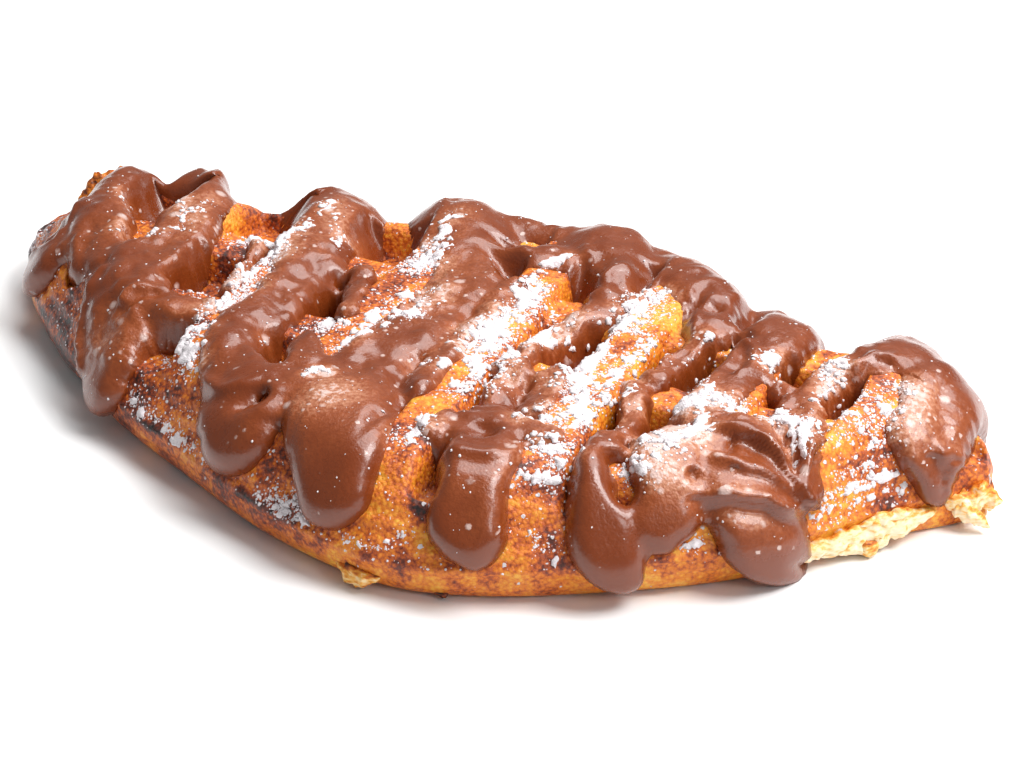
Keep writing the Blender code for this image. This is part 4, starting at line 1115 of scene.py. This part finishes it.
def torn_layers():
    """Inside of the croissant: pale buttery layers, soft and matt, toasted at their edges."""
    material, tree, shader, place = finish_named("pale_torn_dough")
    toast = add(tree, "ShaderNodeAttribute", {"attribute_name": "toast"}).outputs["Fac"]
    layered = add(tree, "ShaderNodeMapping", Vector=place, Scale=(1.0, 1.0, 2.5))
    mottle = add(tree, "ShaderNodeTexNoise", Vector=layered, Scale=1.0 / MOTTLE, Detail=5.0)
    around = add(tree, "ShaderNodeMath", {"operation": "SUBTRACT"}, _0=mottle, _1=0.5)
    tone = add(tree, "ShaderNodeMath", {"operation": "MULTIPLY_ADD"}, _0=around, _1=1.3, _2=toast)
    stops = [(0.0, "#fdebcb"), (0.24, "#f9d79f"), (0.40, "#f0ae45"), (0.58, "#d5731b"),
             (0.85, "#6a2c10"), (1.0, "#1e0c07")]
    colour = add(tree, "ShaderNodeValToRGB", {"stops": stops}, Fac=tone)
    tree.links.new(colour.outputs["Color"], shader.inputs["Base Color"])
    shader.inputs["Roughness"].default_value = 0.55
    shader.inputs["Subsurface Weight"].default_value = 0.15
    shader.inputs["Subsurface Scale"].default_value = 1.0 * MM
    bump = add(tree, "ShaderNodeBump", Height=mottle, Strength=0.6, Distance=0.4 * MM)
    tree.links.new(bump.outputs["Normal"], shader.inputs["Normal"])
    return material


dough.data.materials.append(torn_layers())

# %% [markdown]
# ## Chocolate and hazelnut spread
# The spread is mostly sugar and fat, so it is smooth and softly glossy, with a thin oily coat.
# Sugar that falls on it melts: the brown turns milky and sandy there, and the gloss goes. Drops
# are lumps that have half sunk in. On three spots of the front drips the milky colour is partly
# painted highlight.

# %% Finish of the spread
SANDY, FINE_SAND = 0.8 * MM, 0.4 * MM


def hazelnut_spread():
    """Warm fat-rich spread: smooth milk brown, softly glossy, milky where sugar melts on it, and partly
    painted highlight on three drip spots.
    """
    material, tree, shader, place = finish_named("chocolate_hazelnut_spread")
    sugar_and_highlight = add(tree, "ShaderNodeAttribute", {"attribute_name": "dust_and_highlight"}).outputs["Fac"]
    grain = add(tree, "ShaderNodeTexNoise", Vector=place, Scale=1.0 / SANDY, Detail=5.0)
    strong = add(tree, "ShaderNodeMath", TIMES, _0=grain, _1=2.6)
    sandy_sugar_and_highlight = add(tree, "ShaderNodeMath", TIMES, _0=sugar_and_highlight, _1=strong)
    # Milky where sugar melts, and partly painted highlight on three drip spots
    melted_and_highlight = add(tree, "ShaderNodeMapRange", Value=sandy_sugar_and_highlight, _1=0.06, _2=1.1, _3=0.0, _4=1.0)
    stops = [(0.0, "#763311"), (0.35, "#934820"), (0.75, "#b97a5a"), (1.0, "#d4b3a8")]
    colour = add(tree, "ShaderNodeValToRGB", {"stops": stops}, Fac=melted_and_highlight)
    fewer = add(tree, "ShaderNodeMath", TIMES, _0=sugar_and_highlight, _1=0.8)
    drops = add(tree, "ShaderNodeMath", {"operation": "MAXIMUM"},
                _0=sugar_specks(tree, place, fewer, 3.0, 0.2),
                _1=sugar_specks(tree, place, sugar_and_highlight, 1.3, 0.2))
    cover = add(tree, "ShaderNodeMath", TIMES, _0=drops, _1=0.75)
    dusted = add(tree, "ShaderNodeMix", {"data_type": "RGBA"}, _0=cover, _6=colour, _7=linear("#d9bfb6"))
    tree.links.new(dusted.outputs[2], shader.inputs["Base Color"])
    duller = add(tree, "ShaderNodeMapRange", Value=melted_and_highlight, _1=0.0, _2=0.7, _3=0.27, _4=0.52)
    tree.links.new(duller.outputs[0], shader.inputs["Roughness"])
    shader.inputs["Specular IOR Level"].default_value = 0.4
    shader.inputs["Coat Weight"].default_value = 0.5
    shader.inputs["Coat Roughness"].default_value = 0.14
    # Height: fine sand where sugar melts, drops, and a slight grain everywhere
    sand = add(tree, "ShaderNodeTexNoise", Vector=place, Scale=1.0 / FINE_SAND, Detail=2.0)
    where = add(tree, "ShaderNodeMath", ADDED, _0=melted_and_highlight, _1=0.15)
    sand = add(tree, "ShaderNodeMath", TIMES, _0=sand, _1=where)
    height = add(tree, "ShaderNodeMath", {"operation": "MULTIPLY_ADD"}, _0=sand, _1=2.2, _2=drops)
    height = add(tree, "ShaderNodeMath", ADDED, _0=height, _1=grain)
    bump = add(tree, "ShaderNodeBump", Height=height, Strength=0.45, Distance=0.16 * MM)
    tree.links.new(bump.outputs["Normal"], shader.inputs["Normal"])
    return material


spread.data.materials.append(hazelnut_spread())

# %% [markdown]
# ## Icing sugar
# Powder scatters light every way, so it is white, fully matt, and soft in its own shadows. Its
# grains are drawn a third of a millimetre wide, because real ones are too fine to show.

# %% Finish of the sugar
POWDER = 0.35 * MM


def sugar_powder():
    """Icing sugar: white powder, fully matt, with grains that catch a little light."""
    material, tree, shader, place = finish_named("icing_sugar_powder")
    grain = add(tree, "ShaderNodeTexNoise", Vector=place, Scale=1.0 / POWDER, Detail=3.0)
    colour = add(tree, "ShaderNodeValToRGB", {"stops": [(0.25, "#d6cdd1"), (0.6, "#efe9eb")]}, Fac=grain)
    tree.links.new(colour.outputs["Color"], shader.inputs["Base Color"])
    shader.inputs["Roughness"].default_value = 0.95
    bump = add(tree, "ShaderNodeBump", Height=grain, Strength=0.7, Distance=0.3 * MM)
    tree.links.new(bump.outputs["Normal"], shader.inputs["Normal"])
    return material


powder = sugar_powder()
for piece in (sugar, lumps, grains):
    piece.data.materials.append(powder)

# %% [markdown]
# ## Floor
# The photograph is cut out on white, so the floor is a plain pale sheet of paper.

# %% Floor
bpy.ops.mesh.primitive_plane_add(size=6.0, location=(0.0, 0.0, 0.0))
floor = bpy.context.object
floor.name = "floor"
paper = bpy.data.materials.new("pale_paper")
paper.use_nodes = True
paper.node_tree.nodes["Principled BSDF"].inputs["Base Color"].default_value = linear("#f7f7f7")
paper.node_tree.nodes["Principled BSDF"].inputs["Roughness"].default_value = 0.9
floor.data.materials.append(paper)

# %% [markdown]
# ## Light
# In the photograph soft light falls from the upper right and from behind, with small bright
# highlights on the drips. Two large lamps give the first, a small low one the second.

# %% Lights
TARGET = Vector((0.8, 1.5, 8.0)) * MM  # the middle of the pastry, where lamps and camera look


def soft_lamp(name, azimuth, elevation, distance, size, power):
    """Square lamp at an angle round the pastry and above the floor, aimed at its middle."""
    a, e = math.radians(azimuth), math.radians(elevation)
    toward = Vector((math.sin(a) * math.cos(e), -math.cos(a) * math.cos(e), math.sin(e)))
    data = bpy.data.lights.new(name, "AREA")
    data.size = size
    data.energy = power
    lamp = bpy.data.objects.new(name, data)
    lamp.location = TARGET + toward * distance
    lamp.rotation_euler = (-toward).to_track_quat("-Z", "Y").to_euler()
    bpy.context.scene.collection.objects.link(lamp)
    print("lamp:", name, power, "W,", size, "m wide")


soft_lamp("key", 98.0, 54.0, 0.75, 0.34, 5.0)
soft_lamp("back", 165.0, 64.0, 0.8, 0.65, 6.6)
soft_lamp("fill", 62.0, 32.0, 0.8, 0.2, 0.9)

world = bpy.data.worlds.new("pale_room")
world.use_nodes = True
world.node_tree.nodes["Background"].inputs["Color"].default_value = linear("#ffffff")
world.node_tree.nodes["Background"].inputs["Strength"].default_value = 0.24
bpy.context.scene.world = world
bpy.context.scene.view_settings.view_transform = "Standard"

# %% [markdown]
# ## Camera
# The lines of the lattice in the photograph give its viewing angle and its long lens: 3000
# pixels of focal length in a picture 1024 pixels wide.

# %% Camera
AZIMUTH, ELEVATION = math.radians(22.8), math.radians(29.2)
FOCUS_PX, WIDTH_PX, SENSOR = 3000.0, 1024.0, 36.0
DISTANCE = 512.8 * MM
back = Vector((math.sin(AZIMUTH) * math.cos(ELEVATION), -math.cos(AZIMUTH) * math.cos(ELEVATION),
               math.sin(ELEVATION)))
lens = bpy.data.cameras.new("camera")
lens.sensor_width = SENSOR
lens.lens = FOCUS_PX / WIDTH_PX * SENSOR
lens.clip_start = 0.01
camera = bpy.data.objects.new("camera", lens)
camera.location = TARGET + back * DISTANCE
camera.rotation_euler = (-back).to_track_quat("-Z", "Y").to_euler()
bpy.context.scene.collection.objects.link(camera)
bpy.context.scene.camera = camera
print("lens in mm:", round(lens.lens, 1))

# %% [markdown]
# ## Joining the body
# Each piece rides on the one body and stands in for the plain solid, which is hidden.

# %% Joining the body
FINISHES = ((pastry, "crust"), (spread, "chocolate_spread"), (sugar, "icing_sugar"),
            (lumps, "icing_sugar"), (grains, "icing_sugar"), (dough, "dough"))
for piece, slot_in_record in FINISHES:
    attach(piece, "root")
    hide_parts("croffle")
